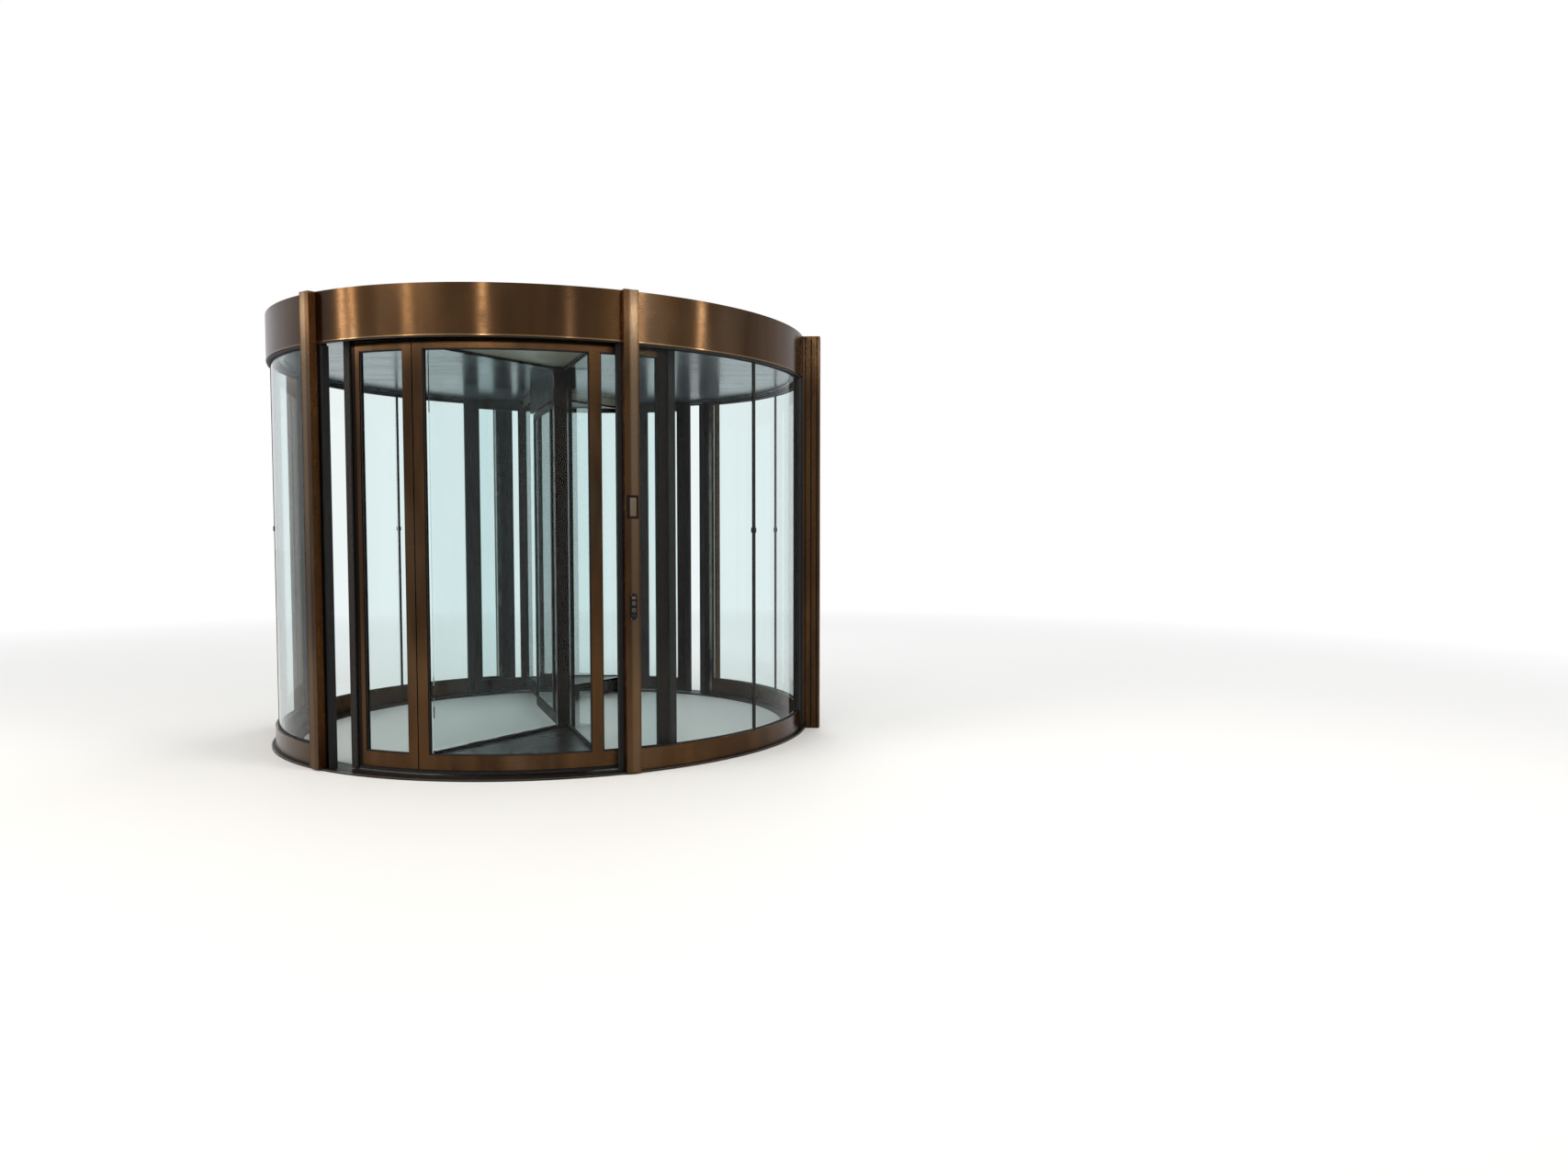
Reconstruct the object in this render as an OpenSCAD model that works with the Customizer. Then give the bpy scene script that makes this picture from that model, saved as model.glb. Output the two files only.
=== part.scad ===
// Automatic two-wing revolving door with two display cases and a centre sliding door.
// The origin is on the turning axis at floor level; -Y faces the lobby, X runs along the facade.
// Azimuths are degrees about Z from the -Y direction, counted towards +X.

/* [Drum] */
// Radius of the fascia's outer face
drum_r = 2025; // [1900:5:2300]
// Overall height to the top of the canopy roof
overall_h = 3108; // [2900:2:3300]
// Height of the curved canopy fascia, roof included
fascia_h = 320; // [250:5:400]
// Thickness of a fascia panel with its backing
fascia_t = 10; // [6:1:16]
// Thickness of the canopy roof deck
roof_t = 10; // [6:1:20]
// How far the roof deck lies below the fascia's upper edge
roof_recess = 12; // [8:1:30]
// Thickness of the floor ring
floor_ring_t = 12; // [8:1:15]
// Radial width of the floor ring
floor_ring_w = 200; // [180:10:260]
// How far the floor ring reaches out in front of the fascia's face
floor_ring_lip = 25; // [5:5:40]
// Thickness of the track ring that carries the rotor
track_t = 12; // [8:1:20]

/* [Throat posts] */
// Azimuth of the throat side of each post
post_in_az = 29.4; // [28:0.1:30]
// Azimuth of the wall side of each post
post_out_az = 32.1; // [31:0.1:34]
// How far the posts reach in behind the fascia's face
post_depth = 75; // [70:1:80]
// How far the posts stand out in front of the fascia
post_proud = 50; // [20:5:60]
// Width of the rubber safety edge on each front post, in degrees
edge_az = 0.8; // [0.5:0.1:1.2]
// Width of the rubber safety edge on each back post, in degrees
back_edge_az = 1.8; // [0.5:0.1:2.2]
// Radial depth of the rubber safety edge
edge_depth = 46; // [30:1:60]

/* [Post plates] */
// Width of the call plate on the right lobby post
call_w = 72; // [50:1:80]
// Height of the call plate
call_h = 150; // [100:2:180]
// Height of the middle of the call plate above the floor
call_z = 1732; // [1600:2:1850]
// Width of the control panel on the same post
panel_w = 46; // [40:1:70]
// Height of the control panel
panel_h = 170; // [120:2:220]
// Height of the middle of the control panel above the floor
panel_z = 1092; // [950:2:1200]
// Thickness of both plates
plate_t = 6; // [3:1:10]

/* [Wall posts] */
// Azimuth where the curved walls end at the wall post
wall_az = 85.6; // [83:0.2:86.4]
// Depth of the wall post across the facade line
wall_post_d = 110; // [90:2:140]
// How far the wall post reaches outside the drum
wall_post_out = 135; // [100:5:160]
// Number of grooves on each face of the wall post
groove_count = 3; // [2:1:4]
// Width of a groove
groove_w = 8; // [4:1:12]
// Depth of a groove
groove_t = 4; // [2:0.5:6]

/* [Curved walls] */
// Height of the base rail
base_h = 154; // [120:2:180]
// Radial width of the base rail
base_w = 60; // [50:2:70]
// Radial setback of the base rail behind the drum radius
base_set = 4; // [2:1:8]
// Thickness of the curved glass
glass_t = 12; // [8:1:14]
// Depth that the glass stands in its grooves
glass_bite = 10; // [6:1:14]
// Height of the head rail under the fascia
head_h = 18; // [16:1:24]
// Height of the slim strip under the fascia across a throat
throat_strip_h = 12; // [8:1:20]
// Radial width of the slim strip
throat_strip_w = 20; // [12:1:30]
// Azimuth of the joint between the two panels of a front curved wall
joint_az = 61; // [58:0.2:63]
// The same for a back curved wall, counted from the back
joint_back_az = 59.4; // [58:0.2:63]
// Width of the open joint between two panels
joint_w = 24; // [10:1:30]

/* [Rotor] */
// Azimuth at which the rotor stands at rest
rotor_rest = 8.4; // [0:0.1:12]
// Gap between the rotor's curved faces and the posts
rotor_gap = 22; // [20:1:30]
// Radial depth of the curved face frames
face_d = 38; // [30:1:44]
// Half span of a curved face, in degrees
face_half = 32.7; // [31.5:0.1:33.2]
// How much further than that the left wing reaches, in degrees
left_more = 0.7; // [0:0.1:0.9]
// Half span of a display case front, in degrees
case_half = 17.6; // [17:0.1:18]
// Width of a display case stile, in degrees
case_stile = 2.1; // [1.8:0.1:2.6]
// Width of the inner stile of the left wing, in degrees
wing_stile = 1.9; // [1.4:0.1:2.4]
// Width of the groove between the wing and the case, in degrees
wing_groove = 0.2; // [0.2:0.05:0.4]
// Width of a wing's end stile, in degrees
end_stile = 2.2; // [1.8:0.1:3]
// Width of the vertical brush at each wing end, in degrees
end_brush = 1.5; // [0.8:0.1:1.8]
// Height of the underside of the rotor frames above the floor
rotor_clear = 45; // [40:1:60]
// Top of the bottom rails above the floor
bottom_rail_top = 140; // [120:1:160]
// Height of the top rails under the rotor ceiling
top_rail_h = 78; // [60:1:90]
// Rise of the rotor ceiling's underside above the fascia's lower edge
ceiling_rise = 24; // [16:1:32]
// Step of the carrier ring's lower edge below that ceiling
rim_drop = 12; // [6:1:14]
// Radial width of the carrier ring
rim_w = 18; // [14:1:30]
// Thickness of the lip that reaches out from the carrier ring
rim_edge_t = 3; // [2:1:5]
// Gap between that lip and the posts
rim_gap = 5.5; // [5.5:0.5:8]
// Thickness of the rotor ceiling
ceiling_t = 15; // [10:1:20]
// Number of carrying rollers
roller_count = 12; // [8:4:16]
// Radius of a carrying roller
roller_r = 20; // [16:1:24]
// Width of a carrying roller
roller_w = 18; // [14:1:22]
// Radial thickness of the floor brushes
brush_t = 14; // [10:1:16]
// Setback of the floor brushes behind the curved faces
brush_set = 8; // [4:1:12]
// How far the upright brushes reach beyond the curved faces
brush_reach = 12; // [8:1:14]
// Height of the brushes' lower edge above the floor ring
brush_lift = 6; // [5:1:10]

/* [Display cases] */
// Thickness of the case glass and the wing glass
case_glass_t = 10; // [6:1:12]
// Thickness of the case wall frames
case_frame_t = 24; // [18:1:30]
// Drop of a case's own ceiling below the rotor ceiling
case_ceiling_drop = 59; // [40:1:70]
// Height of the case wall frame rails
case_rail_h = 20; // [14:1:45]
// Azimuth of the outer corner of the oblique case wall, from the case centre
oblique_az = 15.4; // [14.6:0.1:15.8]

/* [Centre door] */
// Azimuth of the door line from the rotor's centre line
door_az = 17.3; // [17:0.1:17.8]
// Half width of the header box and the track channel across the door line
header_half = 32; // [30:1:36]
// Depth of the header box below the rotor ceiling
header_h = 215; // [150:1:300]
// Wall of the header box and the track channel
header_wall = 6; // [4:1:8]
// Height of the track channel that lies on the rotor ceiling
channel_h = 72; // [68:1:78]
// Thickness of the lips that the leaf wheels ride on
lip_t = 12; // [8:1:14]
// Width of the slot for the leaf hangers
slot_w = 24; // [22:1:28]
// How far the slot stops short of the channel's ends
slot_end = 40; // [20:5:60]
// Side of the square jamb post
jamb_w = 96; // [80:2:110]
// Outer end of the jamb post along the door line, as a share of the rotor's radius
jamb_share = 0.499; // [0.49:0.001:0.51]
// Thickness of a sliding leaf
leaf_t = 26; // [20:1:36]
// How far a shut leaf laps over the jamb post
leaf_lap = 50; // [30:1:60]
// Width of a leaf stile
leaf_stile = 24; // [18:1:50]
// Height of a leaf's top rail
leaf_top_rail = 40; // [24:2:60]
// Height of a leaf's bottom rail
leaf_rail = 80; // [60:2:110]
// Thickness of a leaf's glass
leaf_glass_t = 8; // [6:1:12]
// Gap between a leaf and its neighbours
leaf_gap = 6; // [5:1:10]
// Distance of a hanger from the end of its leaf
hanger_in = 120; // [80:5:160]
// Width of a hanger stem along the door line
stem_w = 40; // [30:2:60]
// Thickness of a hanger stem
stem_t = 10; // [8:1:12]
// Radius of a hanger wheel
wheel_r = 14; // [12:1:16]
// Width of a hanger wheel
wheel_w = 8; // [6:1:9]

/* [Hidden] */
$fn = 360;
fine = 48;
fit = 0.3;
eps = 1;
turn = 180;
// Clearance between two pieces that bear on each other.
seat = 0.2;
canopy_z = overall_h - fascia_h;
// Underside of the pieces that stand on the posts and head rails.
deck_z = canopy_z + seat;
roof_z = overall_h - roof_recess - roof_t;
ring_out_r = drum_r + floor_ring_lip;
ring_in_r = ring_out_r - floor_ring_w;
// Underside of the pieces that stand on the floor ring.
foot_z = floor_ring_t + seat;
post_in_r = drum_r - post_depth;
seat_az = asin(seat / post_in_r);
rotor_r = post_in_r - rotor_gap;
ceiling_z = canopy_z + ceiling_rise;
ceiling_seat_z = ceiling_z + seat;
header_z = ceiling_z - header_h;
head_z = canopy_z - head_h;
base_out_r = drum_r - base_set;
base_in_r = base_out_r - base_w;
glass_mid_r = base_out_r - base_w / 2;
glass_in_r = glass_mid_r - glass_t / 2;
glass_out_r = glass_mid_r + glass_t / 2;
fascia_in_r = drum_r - fascia_t;
box_in_x = fascia_in_r - 14;
track_out_r = box_in_x - 2;
post_out_r = drum_r + post_proud;
joint_half = asin(joint_w / 2 / glass_mid_r);
face_in_r = rotor_r - face_d;
face_mid_r = rotor_r - face_d / 2;
rim_z = ceiling_z - rim_drop;
rim_in_r = rotor_r - rim_w;
top_rail_z = rim_z - top_rail_h;
case_ceiling_z = ceiling_z - case_ceiling_drop;
roller_z = deck_z + track_t + fit + roller_r;
rim_top = roller_z + roller_r + 8;
roller_ring_r = (post_in_r + track_out_r) / 2;
rim_out_r = roller_ring_r + 14;
rim_lip_t = 6;
brush_z = floor_ring_t + brush_lift;
tip_az = face_half - end_brush;
left_half = face_half + left_more;
left_tip_az = left_half - end_brush;
// The door line runs along u, and v is square to it on the side away from the display case.
case_v = -header_half;
jamb_v = case_v - jamb_w;
leaf_top = header_z - 10;
leaf_bottom = floor_ring_t + 12;
jamb_u = jamb_share * rotor_r;
jamb_in_u = jamb_u - jamb_w;
leaf_l = jamb_in_u + leaf_lap - leaf_gap / 2;
axle_r = 6;
hanger_axle_r = 4;
// Distance of the wheels' outer faces from the middle of the channel.
wheel_out = header_half - header_wall - 5;
channel_z = ceiling_seat_z + ceiling_t + seat;
wheel_z = channel_z + lip_t + fit + wheel_r;
// Half length of the channel, which ends inside the carrier ring.
channel_l = sqrt(face_in_r * face_in_r - header_half * header_half) - fit;
// How far the oblique wall's rails run into the jamb post.
wall_root = 20;
// Azimuth where a fascia panel meets the side of the wall post's box.
fascia_end_az = 90 - asin((wall_post_d / 2 + fit) / fascia_in_r);
// Plan points of a display case, in door coordinates.
oblique_start = [jamb_u - jamb_w / 2, jamb_v];
oblique_corner = [
  face_in_r * cos(door_az + oblique_az),
  -face_in_r * sin(door_az + oblique_az)
];
oblique_far = 2 * oblique_corner - oblique_start;
case_plan = [
  [2 * face_in_r, case_v],
  [jamb_in_u, case_v],
  [jamb_in_u, jamb_v],
  oblique_start,
  oblique_far
];
// Plan corners of a wall post's jamb, where the curved walls end on it.
jamb_in = [base_in_r * sin(wall_az), base_in_r * cos(wall_az)];
jamb_out = [fascia_in_r * sin(wall_az), fascia_in_r * cos(wall_az)];

bronze = [0.36, 0.24, 0.15];
dark = [0.07, 0.07, 0.07];
clear = [0.62, 0.78, 0.78, 0.35];
pale = [0.72, 0.75, 0.75];
steel = [0.55, 0.55, 0.56];

// A ring piece from azimuth a0 to a1, between two radii and two heights.
module arc_box(r0, r1, z0, z1, a0, a1) {
  rotate([0, 0, a0 - 90])
    rotate_extrude(angle = a1 - a0)
      translate([r0, z0])
        square([r1 - r0, z1 - z0]);
}

// A full ring between two radii and two heights.
module ring_box(r0, r1, z0, z1) {
  rotate_extrude()
    translate([r0, z0])
      square([r1 - r0, z1 - z0]);
}

// Places children given in door coordinates: u outward along the door line, v square to it.
module on_door_line() {
  rotate([0, 0, rotor_rest + door_az - 90])
    children();
}

// A box in door coordinates.
module door_box(u0, u1, v0, v1, z0, z1) {
  on_door_line()
    translate([u0, v0, z0])
      cube([u1 - u0, v1 - v0, z1 - z0]);
}

// Places children at the rotor's rest azimuth.
module on_rotor() {
  rotate([0, 0, rotor_rest])
    children();
}

module floor_ring() {
  color(dark)
    ring_box(ring_in_r, ring_out_r, 0, floor_ring_t);
}

// One throat post: deep below the canopy, and a slim cover strip in front of the fascia.
module throat_post(a) {
  color(bronze) {
    arc_box(post_in_r, post_out_r, foot_z, canopy_z, a, a + post_out_az - post_in_az);
    arc_box(fascia_in_r, post_out_r, canopy_z - eps, overall_h, a, a + post_out_az - post_in_az);
  }
}

// One wall post: a jamb for the glass and a grooved box that runs to the floor outside the drum.
module wall_post() {
  box_y = wall_post_d / 2;
  face_w = drum_r + wall_post_out - box_in_x;
  pitch = wall_post_out / groove_count;
  color(bronze)
    difference() {
      union() {
        linear_extrude(canopy_z)
          polygon([
            [jamb_in[0], -jamb_in[1]],
            [jamb_out[0], -jamb_out[1]],
            jamb_out,
            jamb_in
          ]);
        translate([box_in_x, -box_y, 0])
          cube([face_w, 2 * box_y, overall_h]);
      }
      translate([0, 0, -eps])
        cylinder(r = ring_out_r + fit, h = foot_z + eps);
      translate([0, 0, roof_z - seat])
        cylinder(r = fascia_in_r, h = overall_h);
      for (side = [-1, 1], i = [0 : groove_count - 1])
        translate([drum_r + pitch * (i + 0.5) - groove_w / 2, side * box_y - groove_t, -eps])
          cube([groove_w, 2 * groove_t, overall_h + 2 * eps]);
    }
}

// One base rail with a groove for the glass.
module base_rail(a0, a1) {
  color(bronze)
    difference() {
      arc_box(base_in_r, base_out_r, foot_z, base_h, a0 + seat_az, a1 - seat_az);
      arc_box(glass_in_r - 2, glass_out_r + 2, base_h - glass_bite, base_h + eps, a0 - eps, a1 + eps);
    }
}

// The two curved panels of one wall with an open joint at azimuth a; side is 1 or -1.
module drum_glass(side, a) {
  spans = [
    [post_out_az + seat_az, a - joint_half],
    [a + joint_half, wall_az - seat_az]
  ];
  color(clear)
    for (span = spans)
      arc_box(glass_in_r, glass_out_r, base_h - glass_bite + seat, head_z + glass_bite - seat,
        min(side * span[0], side * span[1]), max(side * span[0], side * span[1]));
}

// One black strip that fills the joint between two panels.
module joint_seal(a) {
  half = joint_half - seat_az;
  arc_box(glass_in_r - 3, glass_out_r + 3, base_h + seat, head_z - seat, a - half, a + half);
}

module glass_joint_seals() {
  color(dark)
    for (a = [joint_az, turn - joint_back_az, turn + joint_back_az, -joint_az])
      joint_seal(a);
}

// One stretch of head rail, grooved for the glass.
module head_rail(a0, a1) {
  difference() {
    arc_box(base_in_r, base_out_r, head_z, canopy_z, a0 + seat_az, a1 - seat_az);
    arc_box(glass_in_r - 2, glass_out_r + 2, head_z - eps, head_z + glass_bite, a0 - eps, a1 + eps);
  }
}

// The slim strip that closes the fascia's lower edge across a throat.
module throat_strip(a0, a1) {
  arc_box(base_out_r - throat_strip_w, base_out_r, canopy_z - throat_strip_h, canopy_z,
    a0 + seat_az, a1 - seat_az);
}

module head_rails() {
  color(dark) {
    for (half = [0, turn]) {
      throat_strip(half - post_in_az, half + post_in_az);
      head_rail(half + post_out_az, half + wall_az);
      head_rail(half - wall_az, half - post_out_az);
    }
  }
}

module track_ring() {
  color(steel)
    ring_box(post_in_r, track_out_r, deck_z, deck_z + track_t);
}

// One curved fascia panel.
module fascia(a0, a1) {
  color(bronze)
    arc_box(fascia_in_r, drum_r, deck_z, overall_h, a0 + seat_az, a1 - seat_az);
}

module canopy_roof() {
  color(dark)
    translate([0, 0, roof_z])
      cylinder(r = fascia_in_r - seat, h = roof_t);
}

// One rubber edge on the throat side of a post, from azimuth a and w degrees wide.
module safety_edge(a, w) {
  r0 = post_in_r + 6;
  arc_box(r0, r0 + edge_depth, foot_z, head_z - seat, a + seat_az, a + w - seat_az);
}

module safety_edges() {
  color(dark) {
    safety_edge(post_in_az - edge_az, edge_az);
    safety_edge(-post_in_az, edge_az);
    safety_edge(turn + post_in_az - back_edge_az, back_edge_az);
    safety_edge(turn - post_in_az, back_edge_az);
  }
}

// A curved plate, w wide and h high, on the outer face of the right lobby post.
module post_plate(w, h, t, z) {
  mid = (post_in_az + post_out_az) / 2;
  half = asin(w / 2 / post_out_r);
  arc_box(post_out_r + seat, post_out_r + seat + t, z - h / 2, z + h / 2, mid - half, mid + half);
}

module call_plate() {
  color(dark)
    post_plate(call_w, call_h, plate_t, call_z);
}

module control_panel() {
  color(dark)
    post_plate(panel_w, panel_h, plate_t, panel_z);
}

// Rotor rim that hangs on the track ring by its rollers.
module carrier_ring() {
  color(dark) {
    ring_box(rim_in_r, rotor_r, rim_z + seat, rim_top);
    ring_box(rotor_r - eps, post_in_r - rim_gap, rim_z + seat, rim_z + seat + rim_edge_t);
    ring_box(rotor_r - eps, rim_out_r, rim_top - rim_lip_t, rim_top);
    for (i = [0 : roller_count - 1])
      rotate([0, 0, i * 360 / roller_count])
        translate([rotor_r - eps, 0, roller_z])
          rotate([0, 90, 0])
            cylinder(r = axle_r, h = rim_out_r - rotor_r, $fn = fine);
  }
}

module rotor_rollers() {
  color(steel)
    for (i = [0 : roller_count - 1])
      rotate([0, 0, i * 360 / roller_count])
        translate([roller_ring_r - roller_w / 2, 0, roller_z])
          rotate([0, 90, 0])
            difference() {
              cylinder(r = roller_r, h = roller_w, $fn = fine);
              translate([0, 0, -eps])
                cylinder(r = axle_r + fit, h = roller_w + 2 * eps, $fn = fine);
            }
}

// Ceiling disc with a slot along the door line for the leaf hangers.
module rotor_ceiling() {
  slot_l = channel_l - slot_end;
  color(pale)
    difference() {
      translate([0, 0, ceiling_seat_z])
        cylinder(r = rim_in_r - seat, h = ceiling_t);
      door_box(-slot_l, slot_l, -slot_w / 2, slot_w / 2, ceiling_z, ceiling_seat_z + 2 * ceiling_t);
    }
}

// Case platform: a low box behind the curved bottom rail.
module case_base() {
  color(bronze)
    intersection() {
      on_door_line()
        translate([0, 0, rotor_clear])
          linear_extrude(bottom_rail_top - rotor_clear - seat)
            polygon(case_plan);
      cylinder(r = face_in_r - fit, h = overall_h);
    }
}

// A curved frame piece with a window through it.
module face_window(a0, a1, z0, z1, w0, w1, y0, y1) {
  difference() {
    arc_box(face_in_r, rotor_r, z0, z1, a0, a1);
    arc_box(face_in_r - eps, rotor_r + eps, y0, y1, w0, w1);
  }
}

// Frame of one case: the curved front frame, the jamb post, the wall rails and the case's ceiling.
module case_frame() {
  color(bronze) {
    on_rotor()
      face_window(-case_half, case_half, rotor_clear, rim_z,
        -case_half + case_stile, case_half - case_stile, bottom_rail_top, top_rail_z);
    intersection() {
      union() {
        door_box(jamb_in_u, jamb_u, jamb_v, case_v, bottom_rail_top, case_ceiling_z);
        on_door_line()
          translate([0, 0, case_ceiling_z + seat])
            linear_extrude(case_ceiling_drop - seat)
              polygon(case_plan);
        for (z = [case_ceiling_z - case_rail_h, bottom_rail_top]) {
          door_box(jamb_u - wall_root, face_in_r, case_v - case_frame_t, case_v, z, z + case_rail_h);
          oblique_wall(0, case_frame_t, z, z + case_rail_h);
        }
      }
      cylinder(r = face_in_r - fit, h = overall_h);
    }
  }
}

// A straight piece of the oblique wall, set back from its outer plane.
module oblique_wall(set, t, z0, z1) {
  run = oblique_corner - oblique_start;
  on_door_line()
    translate([oblique_start[0], oblique_start[1], z0])
      rotate([0, 0, atan2(run[1], run[0])])
        translate([-wall_root, set, 0])
          cube([norm(run) - 8 + wall_root, t, z1 - z0]);
}

// A curved pane in the middle of the face frames, from azimuth a0 to a1.
module face_pane(a0, a1) {
  half_t = case_glass_t / 2;
  arc_box(face_mid_r - half_t, face_mid_r + half_t, bottom_rail_top + seat, top_rail_z - seat, a0, a1);
}

// Glass of one case: the curved front, the straight wall and the oblique wall.
module case_glass() {
  z0 = bottom_rail_top + case_rail_h + seat;
  z1 = case_ceiling_z - case_rail_h - seat;
  set = (case_frame_t - case_glass_t) / 2;
  half = case_half - case_stile - seat_az;
  color(clear) {
    on_rotor()
      face_pane(-half, half);
    door_box(jamb_u + seat, face_in_r - 3, case_v - set - case_glass_t, case_v - set, z0, z1);
    difference() {
      oblique_wall(set, case_glass_t, z0, z1);
      door_box(jamb_in_u - seat, jamb_u + seat, jamb_v - seat, case_v + seat, z0 - eps, z1 + eps);
    }
  }
}

// Frames of the two wings beside one case.
module wing_frames() {
  left_in = -case_half - wing_groove;
  right_in = case_half + seat_az;
  color(bronze)
    on_rotor() {
      face_window(-left_tip_az, left_in, rotor_clear, rim_z,
        -left_tip_az + end_stile, left_in - wing_stile, bottom_rail_top, top_rail_z);
      face_window(right_in, tip_az, rotor_clear, rim_z,
        right_in - eps, tip_az - end_stile, bottom_rail_top, top_rail_z);
    }
}

module wing_glass() {
  edge = end_stile + seat_az;
  color(clear)
    on_rotor() {
      face_pane(-left_tip_az + edge, -case_half - wing_groove - wing_stile - seat_az);
      face_pane(case_half + seat_az, tip_az - edge);
    }
}

// Floor brushes under the curved faces and upright brushes at their ends.
module rotor_brushes() {
  r0 = rotor_r - brush_set - brush_t;
  r1 = rotor_r + brush_reach;
  color(dark)
    for (half = [0, turn])
      rotate([0, 0, half])
        on_rotor() {
          arc_box(r0, rotor_r - brush_set, brush_z, rotor_clear - seat,
            -left_tip_az + seat_az, tip_az - seat_az);
          arc_box(r0, r1, brush_z, rim_z, tip_az + seat_az, face_half);
          arc_box(r0, r1, brush_z, rim_z, -left_half, -left_tip_az - seat_az);
        }
}

// A box along the door line, hollow and slotted underneath, from -l to l and z0 to z1.
module slotted_box(l, end, z0, z1, floor_t) {
  inner = header_half - header_wall;
  difference() {
    door_box(-l, l, -header_half, header_half, z0, z1);
    door_box(-l + end, l - end, -inner, inner, z0 + floor_t, z1 - header_wall);
    door_box(-l + end, l - end, -slot_w / 2, slot_w / 2, z0 - eps, z1 - header_wall);
  }
}

// Header box between the jamb posts, and the track channel over the ceiling that carries the leaves.
module door_header() {
  color(dark) {
    slotted_box(channel_l, slot_end, channel_z, channel_z + channel_h, lip_t);
    difference() {
      slotted_box(jamb_u, -eps, header_z, ceiling_z, header_wall);
      door_box(-jamb_u - eps, jamb_u + eps, -slot_w / 2, slot_w / 2, header_z, ceiling_z + eps);
    }
  }
}

// Frame of one leaf with its two hangers.
module leaf_frame() {
  u0 = leaf_gap / 2;
  u1 = u0 + leaf_l;
  half = leaf_t / 2;
  color(dark) {
    difference() {
      door_box(u0, u1, -half, half, leaf_bottom, leaf_top);
      door_box(u0 + leaf_stile, u1 - leaf_stile, -half - eps, half + eps, leaf_bottom + leaf_rail,
        leaf_top - leaf_top_rail);
    }
    for (u = [u0 + hanger_in, u1 - hanger_in])
      leaf_hanger(u);
  }
}

// A stem and an axle with two wheels that ride on the channel's lips.
module leaf_hanger(u) {
  door_box(u - stem_w / 2, u + stem_w / 2, -stem_t / 2, stem_t / 2, leaf_top - eps, wheel_z + wheel_r / 2);
  on_door_line()
    translate([u, 0, wheel_z])
      rotate([90, 0, 0]) {
        translate([0, 0, -wheel_out + eps])
          cylinder(r = hanger_axle_r, h = 2 * (wheel_out - eps), $fn = fine);
        for (z = [-wheel_out, wheel_out - wheel_w])
          translate([0, 0, z])
            cylinder(r = wheel_r, h = wheel_w, $fn = fine);
      }
}

module leaf_glass() {
  u0 = leaf_gap / 2;
  u1 = u0 + leaf_l;
  color(clear)
    door_box(u0 + leaf_stile + seat, u1 - leaf_stile - seat, -leaf_glass_t / 2, leaf_glass_t / 2,
      leaf_bottom + leaf_rail + seat, leaf_top - leaf_top_rail - seat);
}

// The same pieces turned half way round the axis.
module opposite() {
  rotate([0, 0, turn])
    children();
}

floor_ring();
throat_post(-post_out_az);  // post_front_left
throat_post(post_in_az);  // post_front_right
opposite() throat_post(post_in_az);  // post_back_left
opposite() throat_post(-post_out_az);  // post_back_right
opposite() wall_post();  // wall_post_left
wall_post();  // wall_post_right
base_rail(-wall_az, -post_out_az);  // base_rail_front_left
base_rail(post_out_az, wall_az);  // base_rail_front_right
opposite() base_rail(post_out_az, wall_az);  // base_rail_back_left
opposite() base_rail(-wall_az, -post_out_az);  // base_rail_back_right
drum_glass(-1, joint_az);  // drum_glass_front_left
drum_glass(1, joint_az);  // drum_glass_front_right
opposite() drum_glass(1, joint_back_az);  // drum_glass_back_left
opposite() drum_glass(-1, joint_back_az);  // drum_glass_back_right
glass_joint_seals();
head_rails();
track_ring();
fascia(-post_in_az, post_in_az);  // fascia_front
opposite() fascia(-post_in_az, post_in_az);  // fascia_back
fascia(-fascia_end_az, -post_out_az);  // fascia_front_left
fascia(post_out_az, fascia_end_az);  // fascia_front_right
opposite() fascia(post_out_az, fascia_end_az);  // fascia_back_left
opposite() fascia(-fascia_end_az, -post_out_az);  // fascia_back_right
canopy_roof();
safety_edges();
call_plate();
control_panel();
carrier_ring();
rotor_rollers();
rotor_ceiling();
case_base();  // case_base_front
opposite() case_base();  // case_base_back
case_frame();  // case_frame_front
opposite() case_frame();  // case_frame_back
case_glass();  // case_glass_front
opposite() case_glass();  // case_glass_back
wing_frames();  // wing_frames_front
opposite() wing_frames();  // wing_frames_back
wing_glass();  // wing_glass_front
opposite() wing_glass();  // wing_glass_back
rotor_brushes();
door_header();
leaf_frame();  // leaf_frame_front
opposite() leaf_frame();  // leaf_frame_back
leaf_glass();  // leaf_glass_front
opposite() leaf_glass();  // leaf_glass_back
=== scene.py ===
"""Two-wing revolving door: finishes, trim, floor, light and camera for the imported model."""

import logging
import math
from collections.abc import Callable, Sequence
from dataclasses import dataclass, field
from enum import Enum

import bmesh
import bpy
from mathutils import Matrix, Vector


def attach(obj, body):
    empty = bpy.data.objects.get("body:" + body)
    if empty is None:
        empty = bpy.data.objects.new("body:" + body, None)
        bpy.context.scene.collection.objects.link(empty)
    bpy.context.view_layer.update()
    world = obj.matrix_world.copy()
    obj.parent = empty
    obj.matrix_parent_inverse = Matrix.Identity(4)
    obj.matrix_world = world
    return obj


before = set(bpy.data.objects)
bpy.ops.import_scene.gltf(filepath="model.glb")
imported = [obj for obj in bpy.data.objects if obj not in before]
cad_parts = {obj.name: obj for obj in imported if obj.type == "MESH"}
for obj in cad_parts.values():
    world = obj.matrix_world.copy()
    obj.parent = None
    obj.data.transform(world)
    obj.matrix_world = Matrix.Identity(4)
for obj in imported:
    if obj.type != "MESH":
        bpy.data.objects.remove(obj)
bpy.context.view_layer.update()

logging.basicConfig(level=logging.INFO, format="%(message)s")
LOG = logging.getLogger("revolving_door")

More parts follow.
